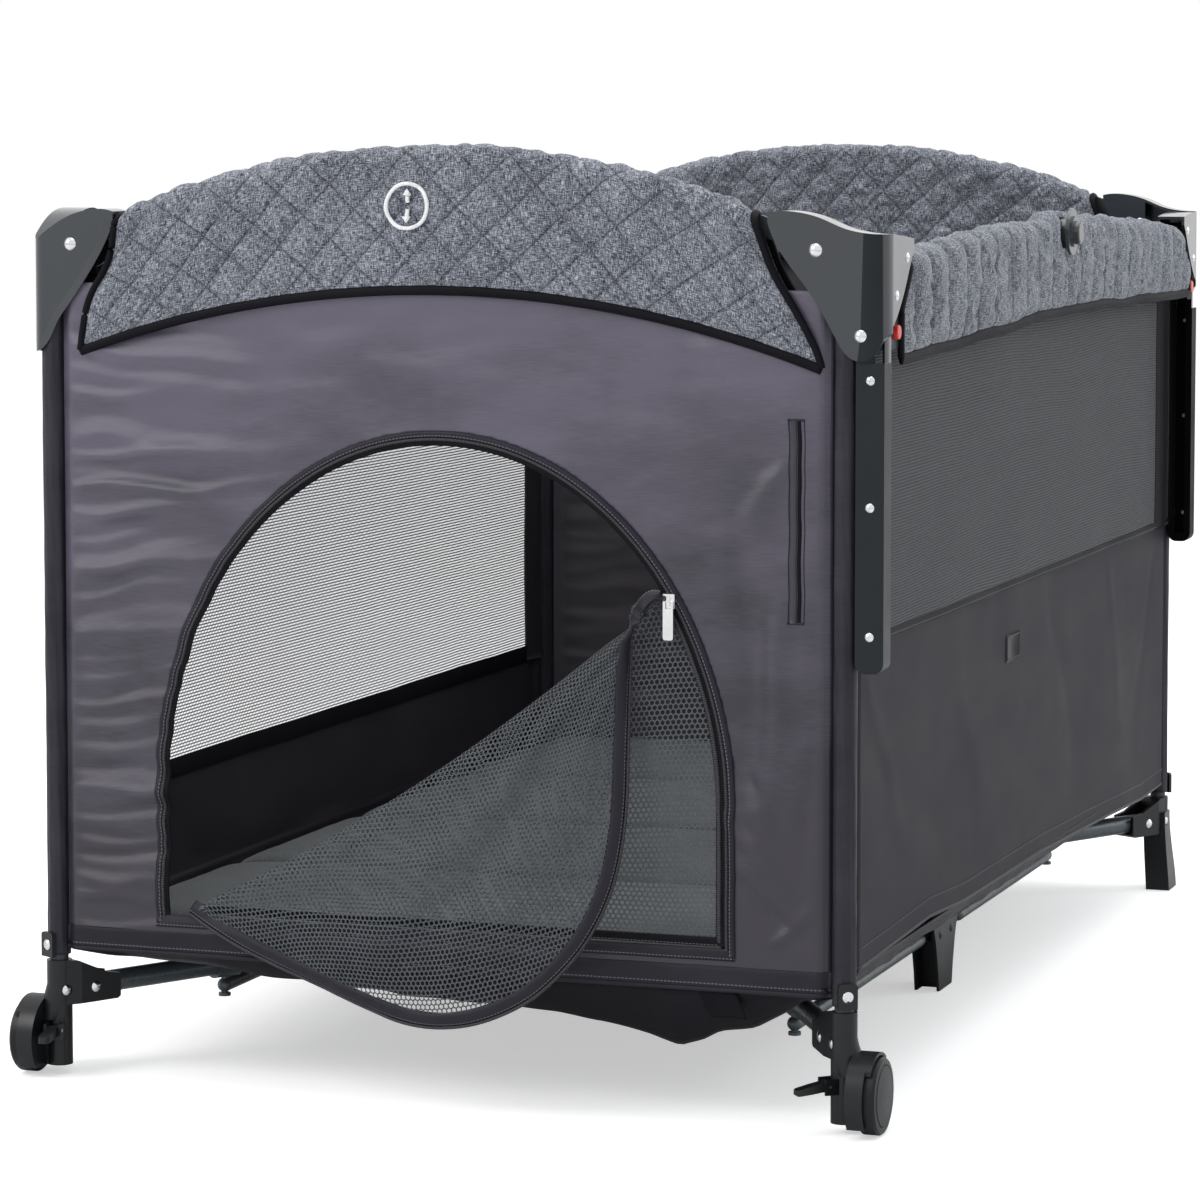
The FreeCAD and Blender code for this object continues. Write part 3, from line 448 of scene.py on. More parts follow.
def net(name, color, a, b, r):
    """Open net with staggered six-sided holes: pitch a across and b along, half width r of a hole, in mm."""
    m = Mat(name, color, 0.6, Specular_IOR_Level=0.35)
    u = m.uv()
    x, y, _ = m.split(u)
    from_hole = []
    for shift in (0.0, 0.5):
        dx = m.mul(m.gap(m.saw(x, 1000 / a, shift), 0.5), a)
        dy = m.mul(m.gap(m.saw(y, 1000 / b, shift), 0.5), b)
        from_hole.append(m.math("MAXIMUM", dx, m.add(m.mul(dx, 0.5), m.mul(dy, 0.866))))
    cloth = m.range(m.math("MINIMUM", *from_hole), r * 0.88, r)
    m.put(m.b.inputs["Alpha"], cloth)
    tint = m.noise(m.scaled(u, (40, 40, 1)), 1.0, 3)
    m.color(m.mix(m.range(tint, 0.3, 0.7), darker(color, 0.75), color))
    m.bump(cloth, 0.0004, 0.5)
    return m


def ribbed_net(name, color):
    """Fine mesh with horizontal ribs, nearly closed."""
    m = Mat(name, color, 0.62, Specular_IOR_Level=0.2)
    u = m.uv()
    x, z, _ = m.split(u)
    wavy = m.noise(m.scaled(u, (2.2, 5, 1)), 1.0, 2, 0.4)
    rib = m.range(m.gap(m.saw(z, 380, m.mul(wavy, 10.0)), 0.5), 0.1, 0.4)
    pin = m.range(m.gap(m.saw(x, 420), 0.5), 0.1, 0.3)
    m.put(m.b.inputs["Alpha"], m.range(m.math("MAXIMUM", rib, pin), 0.0, 1.0, 0.62, 0.98))
    m.color(m.mix(rib, darker(color, 0.5), color))
    m.bump(rib, 0.0004, 0.6)
    return m


def plastic(name, color, rough, grain=0.00004, coat=0.0, shine=0.5):
    m = Mat(name, color, rough, Specular_IOR_Level=shine, Coat_Weight=coat, Coat_Roughness=0.12)
    p = m.obj()
    fine = m.noise(m.scaled(p, (900, 900, 900)), 1.0, 2)
    broad = m.noise(m.scaled(p, (22, 22, 22)), 1.0, 4)
    m.color(m.mix(m.range(broad, 0.3, 0.7), darker(color, 0.86), color))
    m.rough(m.range(broad, 0.3, 0.7, rough * 0.88, rough * 1.15))
    m.bump(fine, grain, 0.6)
    return m


def metal(name, color, rough, metallic=1.0):
    m = Mat(name, color, rough, Metallic=metallic)
    p = m.obj()
    drawn = m.noise(m.scaled(p, (500, 500, 60)), 1.0, 3)
    broad = m.noise(m.scaled(p, (30, 30, 30)), 1.0, 3)
    m.rough(m.range(drawn, 0.3, 0.7, max(rough - 0.12, 0.04), rough + 0.12))
    m.color(m.mix(m.range(broad, 0.3, 0.7), darker(color, 0.85), color))
    m.bump(drawn, 0.00002, 0.5)
    return m


def stitched(base, name, at, pitch=3.2):
    """A copy of a cloth with stitch lines along the strip, at these distances across it, in mm."""
    m = Mat.copy_of(base, name)
    along, across, _ = m.split(m.uv())
    dash = m.range(m.saw(along, 1000 / pitch), 0.62, 0.74, 1.0, 0.0)
    sunk = m.greatest([m.range(m.gap(across, w * 0.001), 0.0003, 0.0006, 1.0, 0.0) for w in at])
    line = m.mul(sunk, dash)
    old = m.b.inputs["Base Color"].links[0].from_socket
    m.color(m.mix(m.mul(line, 0.55), old, srgb(128, 126, 136)))
    m.bump(m.sub(line, sunk), 0.0005, 0.8)
    return m


def zip_coil(name):
    """Dark coil with a tooth wave along the strip."""
    m = Mat(name, srgb(38, 38, 42), 0.42)
    tooth = m.range(m.gap(m.saw(m.split(m.uv())[0], 520), 0.5), 0.1, 0.4)
    m.color(m.mix(tooth, srgb(16, 16, 18), srgb(64, 64, 70)))
    m.bump(tooth, 0.0008, 0.9)
    return m


def printed(name):
    """White print, a little worn."""
    m = Mat(name, (0.86, 0.87, 0.88, 1), 0.55)
    worn = m.range(m.noise(m.scaled(m.uv(), (800, 800, 1)), 1.0, 2), 0.3, 0.6)
    m.color(m.mix(worn, (0.66, 0.67, 0.69, 1), (0.9, 0.9, 0.91, 1)))
    return m


# the walls' satin gets painted shade: lighter towards the top and a little towards the left, darker low down
M_PANEL = satin("panel_satin", srgb(90, 85, 101), srgb(46, 43, 53), 0.33, shade=(-0.12, 1.0, -0.46))
M_SIDE = satin("side_satin", srgb(53, 52, 58), srgb(45, 44, 49), 0.5, shine=0.05, sheen=0.0)
M_SLEEVE = satin("sleeve_satin", srgb(55, 53, 62), srgb(30, 29, 36), 0.42, shine=0.2, sheen=0.0)
M_BIND = satin("binding_satin", srgb(40, 39, 49), srgb(23, 23, 30), 0.4, shine=0.2, sheen=0.0)
M_BLACK = satin("binding_black", srgb(27, 27, 32), srgb(15, 15, 19), 0.5, shine=0.06, sheen=0.0)
M_INNER = satin("inner_lining", srgb(50, 46, 53), srgb(35, 32, 38), 0.6, shine=0.2, sheen=0.0)
M_INNER_BACK = satin("inner_back", srgb(76, 73, 78), srgb(64, 61, 66), 0.55, shine=0.2, sheen=0.0)
M_UNDER = satin("floor_satin", srgb(26, 25, 32), srgb(13, 12, 16), 0.4, shine=0.12, sheen=0.0)
# the quilted covers' seams carry painted shade in and beside their grooves
M_QUILT = melange("quilt_melange", srgb(38, 41, 49), srgb(104, 108, 118), srgb(186, 190, 200),
                  stitch=[(1, 1, QUILT_PITCH), (1, -1, QUILT_PITCH)])
M_CHANNEL = melange("quilt_channels", srgb(44, 47, 55), srgb(106, 110, 119), srgb(180, 184, 193),
                    stitch=[(1, 0, CHANNEL_PITCH)], wide=3.0)
M_MATTRESS = melange("mattress_cloth", srgb(56, 59, 61), srgb(78, 82, 84), srgb(98, 102, 104))
M_NET = net("door_net", srgb(79, 83, 88), 4.9, 8.5, 1.88)
M_NET_L = net("window_net", srgb(80, 84, 88), 3.4, 5.9, 1.02)
M_NET_R = ribbed_net("drop_net", srgb(75, 77, 81))
M_CAP = plastic("cap_gloss", srgb(36, 42, 49), 0.24, 0.00002, 0.8)
M_HOUSE = plastic("housing_satin", srgb(21, 23, 26), 0.36, shine=0.35)
M_TRACK = plastic("track_satin", srgb(30, 35, 39), 0.38, shine=0.22)
# the far track is the same part as the near one in a much darker copy of its finish: painted shade
M_TRACK_SHADED = plastic("track_black", srgb(11, 11, 13), 0.4, shine=0.04)
M_WHEEL = plastic("wheel_satin", srgb(22, 24, 27), 0.36, shine=0.25)
M_RED = plastic("button_red", srgb(225, 58, 48), 0.3, 0.00001, 0.3)
M_LATCH = plastic("latch_gloss", srgb(54, 58, 62), 0.26, 0.00002, 0.4)
M_CHROME = metal("fastener_chrome", (0.78, 0.79, 0.81, 1), 0.16)
M_TUBE = metal("frame_paint", srgb(84, 92, 96), 0.36, 0.4)
M_LEG = metal("leg_paint", srgb(56, 59, 64), 0.42, 0.3)
M_ZIP = metal("zip_metal", (0.86, 0.86, 0.86, 1), 0.2)
M_PRINT = printed("print_white")
M_PATCH = plastic("patch_rubber", srgb(52, 52, 55), 0.5, shine=0.2)
M_BIND_S = stitched(M_BIND, "binding_stitched", (3.4,))
M_HEM_S = stitched(M_BIND, "hem_stitched", (5.0, 21.0), 3.4)
M_BLACK_S = stitched(M_BLACK, "black_stitched", (3.0, 12.0))
M_COIL = zip_coil("zip_coil_teeth")

# ---- CAD nodes: finishes by material slot ----
FINISH = {
    "leg_tube": M_LEG, "cap": M_CAP, "caster": M_HOUSE, "foot": M_HOUSE, "fasteners": M_CHROME, "base_tube": M_TUBE,
    "hub": M_HOUSE, "side_brace": M_TUBE, "mid_foot": M_HOUSE, "rail": M_LEG, "latch_button": M_LATCH, "latch": M_LATCH,
    "wheel": M_WHEEL, "brake": M_HOUSE, "drop_carrier_fr": M_TRACK, "drop_carrier_br": M_TRACK_SHADED, "release": M_RED,
    "zip": M_ZIP,
}
for name, obj in NODES.items():
    for key, mat in FINISH.items():
        if name.startswith(key):
            obj.data.materials.clear()
            obj.data.materials.append(mat.m)
            break


def paint(node, mat, test):
    """Gives the faces of a node that pass a test on their centre (leg-frame mm) another finish."""
    me = NODES[node].data
    me.materials.append(mat.m)
    slot = len(me.materials) - 1
    for p in me.polygons:
        c = p.center
        if test((c.x - XC) * 1000, (c.y - YC) * 1000, c.z * 1000):
            p.material_index = slot


TRACK_MID, TRACK_HALF, TRACK_TOP = 22.5, 9.6, 714.5         # the drop track: middle and half width out from the leg
WING_LOW = 628                                              # below it the track stands alone, above it in the cap


def in_track(sy):
    """Test for the faces of a cap node that belong to the guide track of the drop side."""
    def test(x, y, z):
        beside_leg = HX + 10.2 < x < HX + 35 and sy * y > HY - 11.6
        return beside_leg and z < TRACK_TOP and (z < WING_LOW or abs(x - HX - TRACK_MID) < TRACK_HALF)
    return test


# the near cap's track gets the track finish, the far cap's track its darker copy of painted shade
paint("cap_fr", M_TRACK, in_track(-1))
paint("cap_br", M_TRACK_SHADED, in_track(1))


# ---- front and back walls ----
DOOR_X, DOOR_A, DOOR_B, DOOR_Z0, DOOR_Z1 = 3.5, 253.5, 303.0, 145.0, 260.0     # middle, arch radii, sill, spring line
STEP = 3.0


def door_outline(grow, n=120):
    """From the lower left corner up, over the arch and down to the lower right."""
    t = np.linspace(math.pi, 0, n)
    arch = np.stack([DOOR_X + (DOOR_A + grow) * np.cos(t), DOOR_Z1 + (DOOR_B + grow) * np.sin(t)], 1)
    side = np.linspace(DOOR_Z0 - grow, DOOR_Z1, 14)[:-1]
    left = np.stack([np.full(len(side), DOOR_X - DOOR_A - grow), side], 1)
    right = np.stack([np.full(len(side), DOOR_X + DOOR_A + grow), side[::-1]], 1)
    return np.concatenate([left, arch, right])


def in_door(x, z, grow=0.0):
    a, b, x = DOOR_A + grow, DOOR_B + grow, x - DOOR_X
    return (np.abs(x) < a) & (z > DOOR_Z0 - grow) & ((z < DOOR_Z1) | ((x / a) ** 2 + ((z - DOOR_Z1) / b) ** 2 < 1))


def creases(x, z, rows):
    """Sum of tapered folds. A row gives a fold's two ends, its half width and its height."""
    total = np.zeros(np.shape(x))
    for x0, z0, x1, z1, half, high in rows:
        dx, dz = x1 - x0, z1 - z0
        run = math.hypot(dx, dz)
        t = ((x - x0) * dx + (z - z0) * dz) / run ** 2
        off = ((z - z0) * dx - (x - x0) * dz) / run
        off = off + 0.05 * run * noise(t * 2.3, np.full(np.shape(t), half), 4)
        wide = half * (0.6 + 0.6 * np.clip(t, 0, 1))
        total += high * np.exp(-(off / wide) ** 2) * smooth(-0.1, 0.12, t) * smooth(1.05, 0.5, t)
    return total


def pulled_folds(seed, x_leg, direction):
    """Level folds that a tight wall has beside its leg."""
    rng = np.random.default_rng(seed)
    rows = []
    z = HEM + 26
    while z < 655:
        run = rng.uniform(120, 270)
        slope = np.interp(z, [150, 330, 430, 520, 650], [-0.05, 0.10, 0.16, 0.0, -0.09]) + rng.uniform(-0.05, 0.05)
        high = rng.choice([-1.0, 1.0]) * rng.uniform(2.0, 4.6)
        rows.append((x_leg, z, x_leg + direction * run, z + slope * run, rng.uniform(5.5, 10.5), high))
        z += rng.uniform(13, 23)
    return rows


LEFT_PULLS = pulled_folds(7, -HX + 8, 1)
BACK_PULLS = pulled_folds(9, -HX + 8, 1) + pulled_folds(10, HX - 8, -1)
RIGHT_SLACK = [
    (304, 548, 244, 462, 13, 4.4), (276, 520, 262, 190, 17, -4.0), (300, 430, 286, 170, 15, 4.0),
    (331, 520, 322, 160, 9, -3.4), (250, 262, 332, 168, 8, 3.0), (262, 205, 336, 148, 6, -2.6),
    (232, 650, 332, 556, 16, 3.0), (150, 612, 246, 560, 18, -2.6), (296, 150, 336, 190, 6, 2.4),
    (262, 300, 318, 232, 9, -2.4), (-120, 640, 180, 596, 20, 2.4), (-200, 606, 20, 640, 12, -2.2),
]


def panel_edge(x):
    """How far the wall stands out from the leg axis plane; it turns in to its seam at the legs."""
    return (SLEEVE_R - 0.9) * (0.22 + 0.78 * smooth(HX - 10, HX - 21, np.abs(x)))


def slack(x, z):
    """0 where an end wall is sewn to its legs and its hem, 1 away from them."""
    return smooth(0, 22, HX - 10 - np.abs(x)) * smooth(0, 12, z - HEM)


def front_relief(x, z):
    """Outward relief of the front wall, mm: level folds pulled to the left leg, slack creases on the right."""
    w = creases(x, z, LEFT_PULLS) + creases(x, z, RIGHT_SLACK)
    w += 1.2 * smooth(40, -240, x) * noise(x / 150, z / 21, 1)
    w += 1.4 * smooth(120, 250, x) * noise((x + 0.6 * z) / 44, (z - 0.5 * x) / 150, 5)
    w += 0.5 * noise(x / 38, z / 15, 9) + 2.0 * noise(x / 210, z / 240, 12)
    w += smooth(40, 0, z - HEM) * 1.6 * noise(x / 26, z / 60, 15)
    return np.maximum(w * slack(x, z), -3.5)


def front_wall(x, z):
    return facing(np.stack([x, -HY - panel_edge(x) - front_relief(x, z), z], -1), (0, -1, 0))


def back_wall(x, z):
    w = 0.35 * creases(x, z, BACK_PULLS) + 1.6 * noise(x / 240, z / 200, 22) + 0.6 * noise(x / 60, z / 20, 21)
    return facing(np.stack([x, HY + panel_edge(x) + w * slack(x, z), z], -1), (0, 1, 0))


def wall_sheet(name, S, z0, z1, half, mats, side, flip, cut=None, step=STEP, thick=0.9):
    """A wall between two heights; z0 may be a function of the place along the wall."""
    u = np.linspace(-half, half, int(2 * half / step) + 1)
    low = z0(u) if callable(z0) else np.full(len(u), float(z0))
    v = np.linspace(0, 1, int((z1 - low.min()) / step) + 1)
    uu, tt = np.meshgrid(u, v)
    vv = low[None, :] * (1 - tt) + z1 * tt
    pts, _ = S(uu, vv)
    keep = None if cut is None else ~cut(uu, vv)
    obj = surface(name, pts, np.stack([uu, vv], -1), mats, keep=keep, thick=thick, flip=flip)
    return soft(obj, side)


PANEL_HALF = HX - 10.2
front = wall_sheet("front_panel", front_wall, HEM, PANEL_TOP, PANEL_HALF, [M_PANEL.m, M_INNER.m], "front", False,
                   lambda x, z: in_door(x, z, 3.0))
back = wall_sheet("back_panel", back_wall, HEM, PANEL_TOP, PANEL_HALF, [M_PANEL.m, M_INNER_BACK.m], "back", True)
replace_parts(front, "walls")

for S, side in ((front_wall, "front"), (back_wall, "back")):
    for name, z, section, mat in (("hem_", HEM + 10, rounded(-10, 10, 1.2), M_HEM_S),
                                  ("hem_roll_", HEM, rounded(-2.2, 2.2, 2.0, -1.5), M_BIND)):
        trim(name + side, S, lined(220, (-PANEL_HALF, z), (PANEL_HALF, z)), section, mat, side)


# ---- side walls and windows ----
SIDE_SLACK = [
    (-560, 300, -250, 170, 22, -2.0), (-600, 380, -420, 180, 20, 1.8), (-300, 330, -120, 150, 26, 1.6),
    (60, 360, 250, 150, 24, -1.8), (330, 380, 420, 150, 20, 1.6), (560, 380, 430, 150, 18, -1.6),
]


def right_hem(y):
    return np.interp(y, [-625, -380, -260, 40, 350, 500, 625], [131, 137, 131, 129, 120, 114, 116])


def left_hem(y):
    return 128 + 3 * np.sin(np.asarray(y) / 150)


def side_wall(sx, off, seed, low):
    """A wall's surface; sx is its outward direction, off its distance from the leg axes, low its hem."""
    def S(y, z):
        w = 1.0 * noise(y / 110, z / 220, seed) + 1.6 * noise(y / 230, z / 120, seed + 1)
        w = w + 0.12 * noise(y / 40, z / 60, seed + 2)
        w = (w + 0.8 * creases(y, z, SIDE_SLACK)) * smooth(0, 40, HY - 9 - np.abs(y)) * smooth(0, 16, z - low(y))
        turn = 0.3 + 0.7 * smooth(HY - 9, HY - 19, np.abs(y))
        most = 2.2 if sx > 0 else 4                           # the right wall leaves room for the drop side
        return facing(np.stack([sx * (HX + off * turn + np.clip(w, -3, most) * 0.8), y, z], -1), (sx, 0, 0))
    return S


S_LEFT = side_wall(-1, SLEEVE_R - 0.9, 31, left_hem)
S_RIGHT = side_wall(1, SLEEVE_R - 2.2, 35, right_hem)
SIDE_HALF = HY - 9.5
left = wall_sheet("side_panel_left", S_LEFT, left_hem, WINDOW_L + 4, SIDE_HALF, [M_SIDE.m, M_INNER.m], "left", True)
right = wall_sheet("side_panel_right", S_RIGHT, right_hem, WINDOW_R, SIDE_HALF, [M_SIDE.m, M_INNER.m], "right", False)
for S, side, low in ((S_LEFT, "left", left_hem), (S_RIGHT, "right", right_hem)):
    y = np.linspace(-SIDE_HALF, SIDE_HALF, 200)
    line = np.stack([y, low(y)], 1)
    trim("hem_" + side, S, line + [0, 1], rounded(-1.8, 1.8, 1.2, -1.2), M_BIND, side)
    trim("hem_seam_" + side, S, line + [0, 17], rounded(-0.7, 0.7, 0.7), M_BIND_S, side)

net_left = wall_sheet("window_left", S_LEFT, WINDOW_L, PANEL_TOP, SIDE_HALF, [M_NET_L.m], "left", True, step=10,
                      thick=0)
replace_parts(net_left, "mesh_left")
trim("window_left_sill", S_LEFT, lined(150, (-SIDE_HALF, WINDOW_L + 8), (SIDE_HALF, WINDOW_L + 8)),
     rounded(-9, 9, 1.6, -2.6), M_BLACK_S, "left")
for end, y in (("f", 16 - SIDE_HALF), ("b", SIDE_HALF - 16)):
    trim("window_left_post_" + end, S_LEFT, lined(70, (y, WINDOW_L), (y, PANEL_TOP)), rounded(-17, 17, 1.6, -2.6),
         M_INNER, "left")


def drop_net(y, z):
    w = 1.1 * noise(y / 130, z / 180, 41)
    return facing(np.stack([HX + 11.0 + np.clip(w, -0.4, 2.4), y, z], -1), (1, 0, 0))


NET_HALF, NET_TOP = HY - 14, 660
net_right = wall_sheet("window_right", drop_net, WINDOW_R - 6, NET_TOP, NET_HALF, [M_NET_R.m], "drop", False,
                       step=10, thick=0)
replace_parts(net_right, "mesh_right")
trim("window_right_sill", drop_net, lined(150, (-NET_HALF, WINDOW_R - 2), (NET_HALF, WINDOW_R - 2)),
     rounded(-4, 4, 0.9), M_BLACK_S, "drop")
for end, sy, wide in (("f", -1, 14), ("b", 1, 34)):
    y = sy * (NET_HALF - wide - 4)
    trim("window_right_post_" + end, drop_net, lined(60, (y, WINDOW_R - 6), (y, NET_TOP - 5)),
         rounded(-wide, wide, 1.1), M_BLACK_S, "drop")


# ---- leg sleeves ----
def sleeve(corner, sx):
    """Cloth tube round a leg, with upright pleats that differ from side to side."""
    z, a = np.linspace(HEM - 8, PANEL_TOP, 150), np.linspace(0, math.tau, 40, endpoint=False)
    z, a = np.meshgrid(z, a, indexing="ij")
    ca, sa = np.cos(a), np.sin(a)
    r = SLEEVE_R + 0.1 + 0.9 * noise(ca * 2.2 + sx, sa * 2.2 + z / 170, 50) + 0.35 * noise(ca * 3 + z / 30, sa * 3, 51)
    x, y = LEG[corner]
    pts = np.stack([(x - XC) * 1000 + r * ca, (y - YC) * 1000 + r * sa, z], -1)
    uv = np.stack([a * SLEEVE_R, z], -1)
    obj = surface("leg_sleeve_" + corner, pts, uv, [M_SLEEVE.m], closed_u=True, thick=0.7)
    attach(obj, "corner_" + corner)


for c, sx in (("fl", -1), ("fr", 1), ("bl", -1), ("br", 1)):
    sleeve(c, sx)
for S, side in ((front_wall, "front"), (back_wall, "back")):
    for end, x in (("l", -PANEL_HALF - 0.4), ("r", PANEL_HALF + 0.4)):
        trim("seam_%s_%s" % (side, end), S, lined(90, (x, HEM + 2), (x, PANEL_TOP)), rounded(-1.1, 1.1, 1.0, -1.0),
             M_BLACK, side)


# ---- doorway edge, zip and slit pocket ----
def coil_line(line, pitch=1.9):
    """Points close enough along a line to carry the zip's teeth."""
    return spaced(line, min(int(run_along(line)[-1] / (pitch / 2)), 700))


def below_pull(line):
    """The part of a doorway line on the right, under the zip's pull."""
    return line[(line[:, 0] > 150) & (line[:, 1] < PULL_TOP)]


PULL_TOP = 430.0
SILL_HALF = DOOR_A + 6
for name, line, section, mat in (
        ("doorway_binding", spaced(door_outline(3.8), 260), rounded(-3.2, 3.2, 2.2), M_BIND_S),
        ("doorway_tape", spaced(door_outline(-2.2), 260), rounded(-3.8, 3.8, 1.0), M_BLACK),
        ("doorway_sill", lined(120, (DOOR_X - SILL_HALF, DOOR_Z0 - 3), (DOOR_X + SILL_HALF, DOOR_Z0 - 3)),
         rounded(-5.5, 5.5, 1.8), M_BIND_S),
        ("zip_coil_open", coil_line(door_outline(-0.5)), rounded(-1.6, 1.6, 2.4), M_COIL),
        ("zip_coil_closed", coil_line(below_pull(door_outline(-7.0))), rounded(-2.0, 2.0, 2.0), M_COIL)):
    trim(name, front_wall, line, section, mat)

SLIT_X, SLIT_Z0, SLIT_Z1 = 316.0, 419.0, 585.0
slit = lined(60, (SLIT_X, SLIT_Z0), (SLIT_X, SLIT_Z1))
slit[:, 0] += 0.7 * noise(slit[:, 1] / 24, 0 * slit[:, 1], 63)
# the first strip is dark and laid in the slit: painted shade in the pocket's opening
for name, off, section, mat in (
        ("slit_gap", 2.0, [(-1.5, 0.4), (1.5, 0.6), (1.5, -0.6), (-1.5, -0.6)], M_BLACK),
        ("slit_lip", -3.2, rounded(-3.2, 2.8, 1.5, -0.6), M_PANEL),
        ("slit_edge", -6.9, rounded(-0.5, 0.5, 0.6, -0.4), M_BIND),
        ("slit_seam", 6.2, rounded(-0.4, 0.4, 0.5, -0.4), M_BIND)):
    trim(name, front_wall, slit + [off, 0], section, mat)
for k, z in enumerate((SLIT_Z0, SLIT_Z1)):
    trim("slit_end_%d" % k, front_wall, lined(8, (SLIT_X - 7.4, z), (SLIT_X + 6.4, z)), rounded(-1.0, 1.0, 1.1),
         M_BIND)
# ---- the mesh door: closed part, and the part folded out over the fold line ----
P1, P2 = np.array([-224.0, 152.5]), np.array([204.5, 438.0])       # ends of the fold on the flat door
FU = (P2 - P1) / np.linalg.norm(P2 - P1)
FN = np.array([-FU[1], FU[0]])
UP, OUT = np.array([FN[0], 0, FN[1]]), np.array([0.0, -1.0, 0.0])
DOOR_PLANE = HY + SLEEVE_R - 2.2              # how far in front of the middle the closed net lies
RIM = spaced(door_outline(-4.0, 200), 500)
TURN = int(np.argmin(np.linalg.norm(RIM - P2, axis=1)))
FLAP_RIM = np.concatenate([lined(20, P1, RIM[0])[:-1], RIM[:TURN]])
LOW_RIM = np.concatenate([lined(60, P1, RIM[-1])[:-1], RIM[TURN:][::-1]])
# free edge of the hanging flap, from the fold's low end to its high end: x, distance in front of the legs, z
FLAP_EDGE = [
    (-224, 12, 153), (-194, 20, 138), (-155, 29, 123), (-102, 40, 107), (-50, 50, 90), (0, 57, 77), (49, 60, 81),
    (94, 58, 101), (120, 54, 123), (146, 48, 154), (166, 40, 198), (174, 32, 253), (173, 24, 321), (173, 20, 358),
    (174, 17, 398), (179, 15, 425), (191, 13, 440), (204, 11, 438),
]


def chain(points, n, rounds=3):
    """Rounds off the corners of a line of points, then spaces n points evenly along it."""
    p = np.asarray(points, float)
    for _ in range(rounds):
        a, b = 0.75 * p[:-1] + 0.25 * p[1:], 0.25 * p[:-1] + 0.75 * p[1:]
        p = np.concatenate([p[:1], np.stack([a, b], 1).reshape(-1, p.shape[1]), p[-1:]])
    return spaced(p, n)


def between(table, s):
    """The point of an evenly spaced line at s, from 0 at its start to 1 at its end."""
    at = np.linspace(0, 1, len(table))
    return np.stack([np.interp(s, at, table[:, k]) for k in range(table.shape[1])], -1)


EDGE_3D = chain([(x, -HY - out, z) for x, out, z in FLAP_EDGE], 400)
FLAT_FLAP, FLAT_LOW = chain(FLAP_RIM, 400, 0), chain(LOW_RIM, 400, 0)


def foot(s):
    return P1 + (P2 - P1) * np.asarray(s)[..., None]


def sag(s):
    return 25 * np.sin(math.pi * np.clip(s, 0, 1)) ** 0.9


def fold_line(s):
    p = foot(s) - FN * sag(s)[..., None]
    y = -(HY + SLEEVE_R + 1.5 + 5 * np.sin(math.pi * np.clip(s, 0, 1)))
    return np.stack([p[..., 0], y, p[..., 1]], -1)


def flap(s, t):
    """The folded part: s along the fold, t from the fold to the free edge."""
    f, e = fold_line(s), between(EDGE_3D, s)
    mid = np.sin(math.pi * np.clip(s, 0, 1))
    gap = np.linalg.norm(e - f, axis=-1)
    r = np.minimum(1.5 + 6 * mid, gap * 0.12 + 0.01)
    d = t * gap
    ang = np.clip(d / r, 0, math.pi)[..., None]
    u = np.clip((d - math.pi * r) / np.maximum(gap - math.pi * r, 0.001), 0, 1)
    far = f + OUT * 2 * r[..., None]
    round_fold = f + r[..., None] * (np.sin(ang) * UP + (1 - np.cos(ang)) * OUT)
    p = np.where(ang < math.pi, round_fold, far + (e - far) * u[..., None])
    dx, dz = p[..., 0] - P2[0], p[..., 2] - P2[1]
    turn, away = np.arctan2(dz, dx), np.hypot(dx, dz)
    free = np.sin(math.pi * u) ** 0.8
    w = 3.6 * np.sin(24 * turn + 2.4 * noise(away / 170, turn * 3, 71)) * smooth(30, 200, away)
    w += 2.2 * noise(away / 70, turn * 9, 72) + 9 * mid
    return p + OUT * (w * free)[..., None]


def low_part(s, t):
    """The part still zipped in: s along the fold, t from the fold to the sill and the right edge."""
    flat = foot(s) * (1 - t[..., None]) + between(FLAT_LOW, s) * t[..., None]
    p = flat - FN * (sag(s) * (1 - t) ** 1.5)[..., None]
    plane = -DOOR_PLANE - 0.7 * noise(p[..., 0] / 80, p[..., 1] / 90, 61)
    on_fold = fold_line(s)[..., 1]
    y = on_fold + (plane - on_fold) * smooth(0, 0.16, t)
    return np.stack([p[..., 0], y, p[..., 1]], -1)


def door_cloth(name, shape, rim, n_s, n_t):
    s, t = np.meshgrid(np.linspace(0, 1, n_s), np.linspace(0, 1, n_t))
    flat = foot(s) * (1 - t[..., None]) + between(rim, s) * t[..., None]
    obj = surface(name, shape(s, t), flat, [M_NET.m])
    soft(obj, "front")
    return obj


door_cloth("door_net_closed", low_part, FLAT_LOW, 100, 50)
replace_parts(door_cloth("door_net_flap", flap, FLAT_FLAP, 180, 110), "door")


def strip3(name, line, inward, section, mat, seed):
    """A soft binding along a line in space; section lists (distance inward, height)."""
    d = unit(np.gradient(line, axis=0))
    a = unit(inward - d * (inward * d).sum(1, keepdims=True))
    n = np.cross(d, a)
    n *= np.sign((n * OUT).sum(1).mean())
    run, sec = run_along(line), np.asarray(section, float)
    ripple = 1 + 0.35 * noise(run / 9, np.full(len(run), 3.0), seed)
    pts = np.stack([line + a * o + n * (h * ripple)[:, None] for o, h in sec], 1)
    uv = np.stack(np.meshgrid(run, run_along(sec), indexing="ij"), -1)
    faces = quads(len(run), len(sec), True) + ends(len(run), len(sec))
    return soft(build(name, pts.reshape(-1, 3), faces, uv.reshape(-1, 2), [mat.m]), "front")


s = np.linspace(0.0, 1.0, 360)
free_edge = between(EDGE_3D, s)
inward = flap(s, np.full(len(s), 0.94)) - free_edge
inward[:6], inward[-12:] = inward[6], inward[-13]             # the corners take their neighbours' direction
strip3("flap_binding", free_edge, inward, rounded(-2.5, 9.5, 1.6, -1.6), M_BIND_S, 74)
strip3("flap_zip_tape", free_edge, inward, rounded(-5.0, -2.0, 1.1, -1.1), M_COIL, 75)


def door_plane(x, z):
    return facing(np.stack([x, np.full(np.shape(x), -DOOR_PLANE), z], -1), (0, -1, 0))


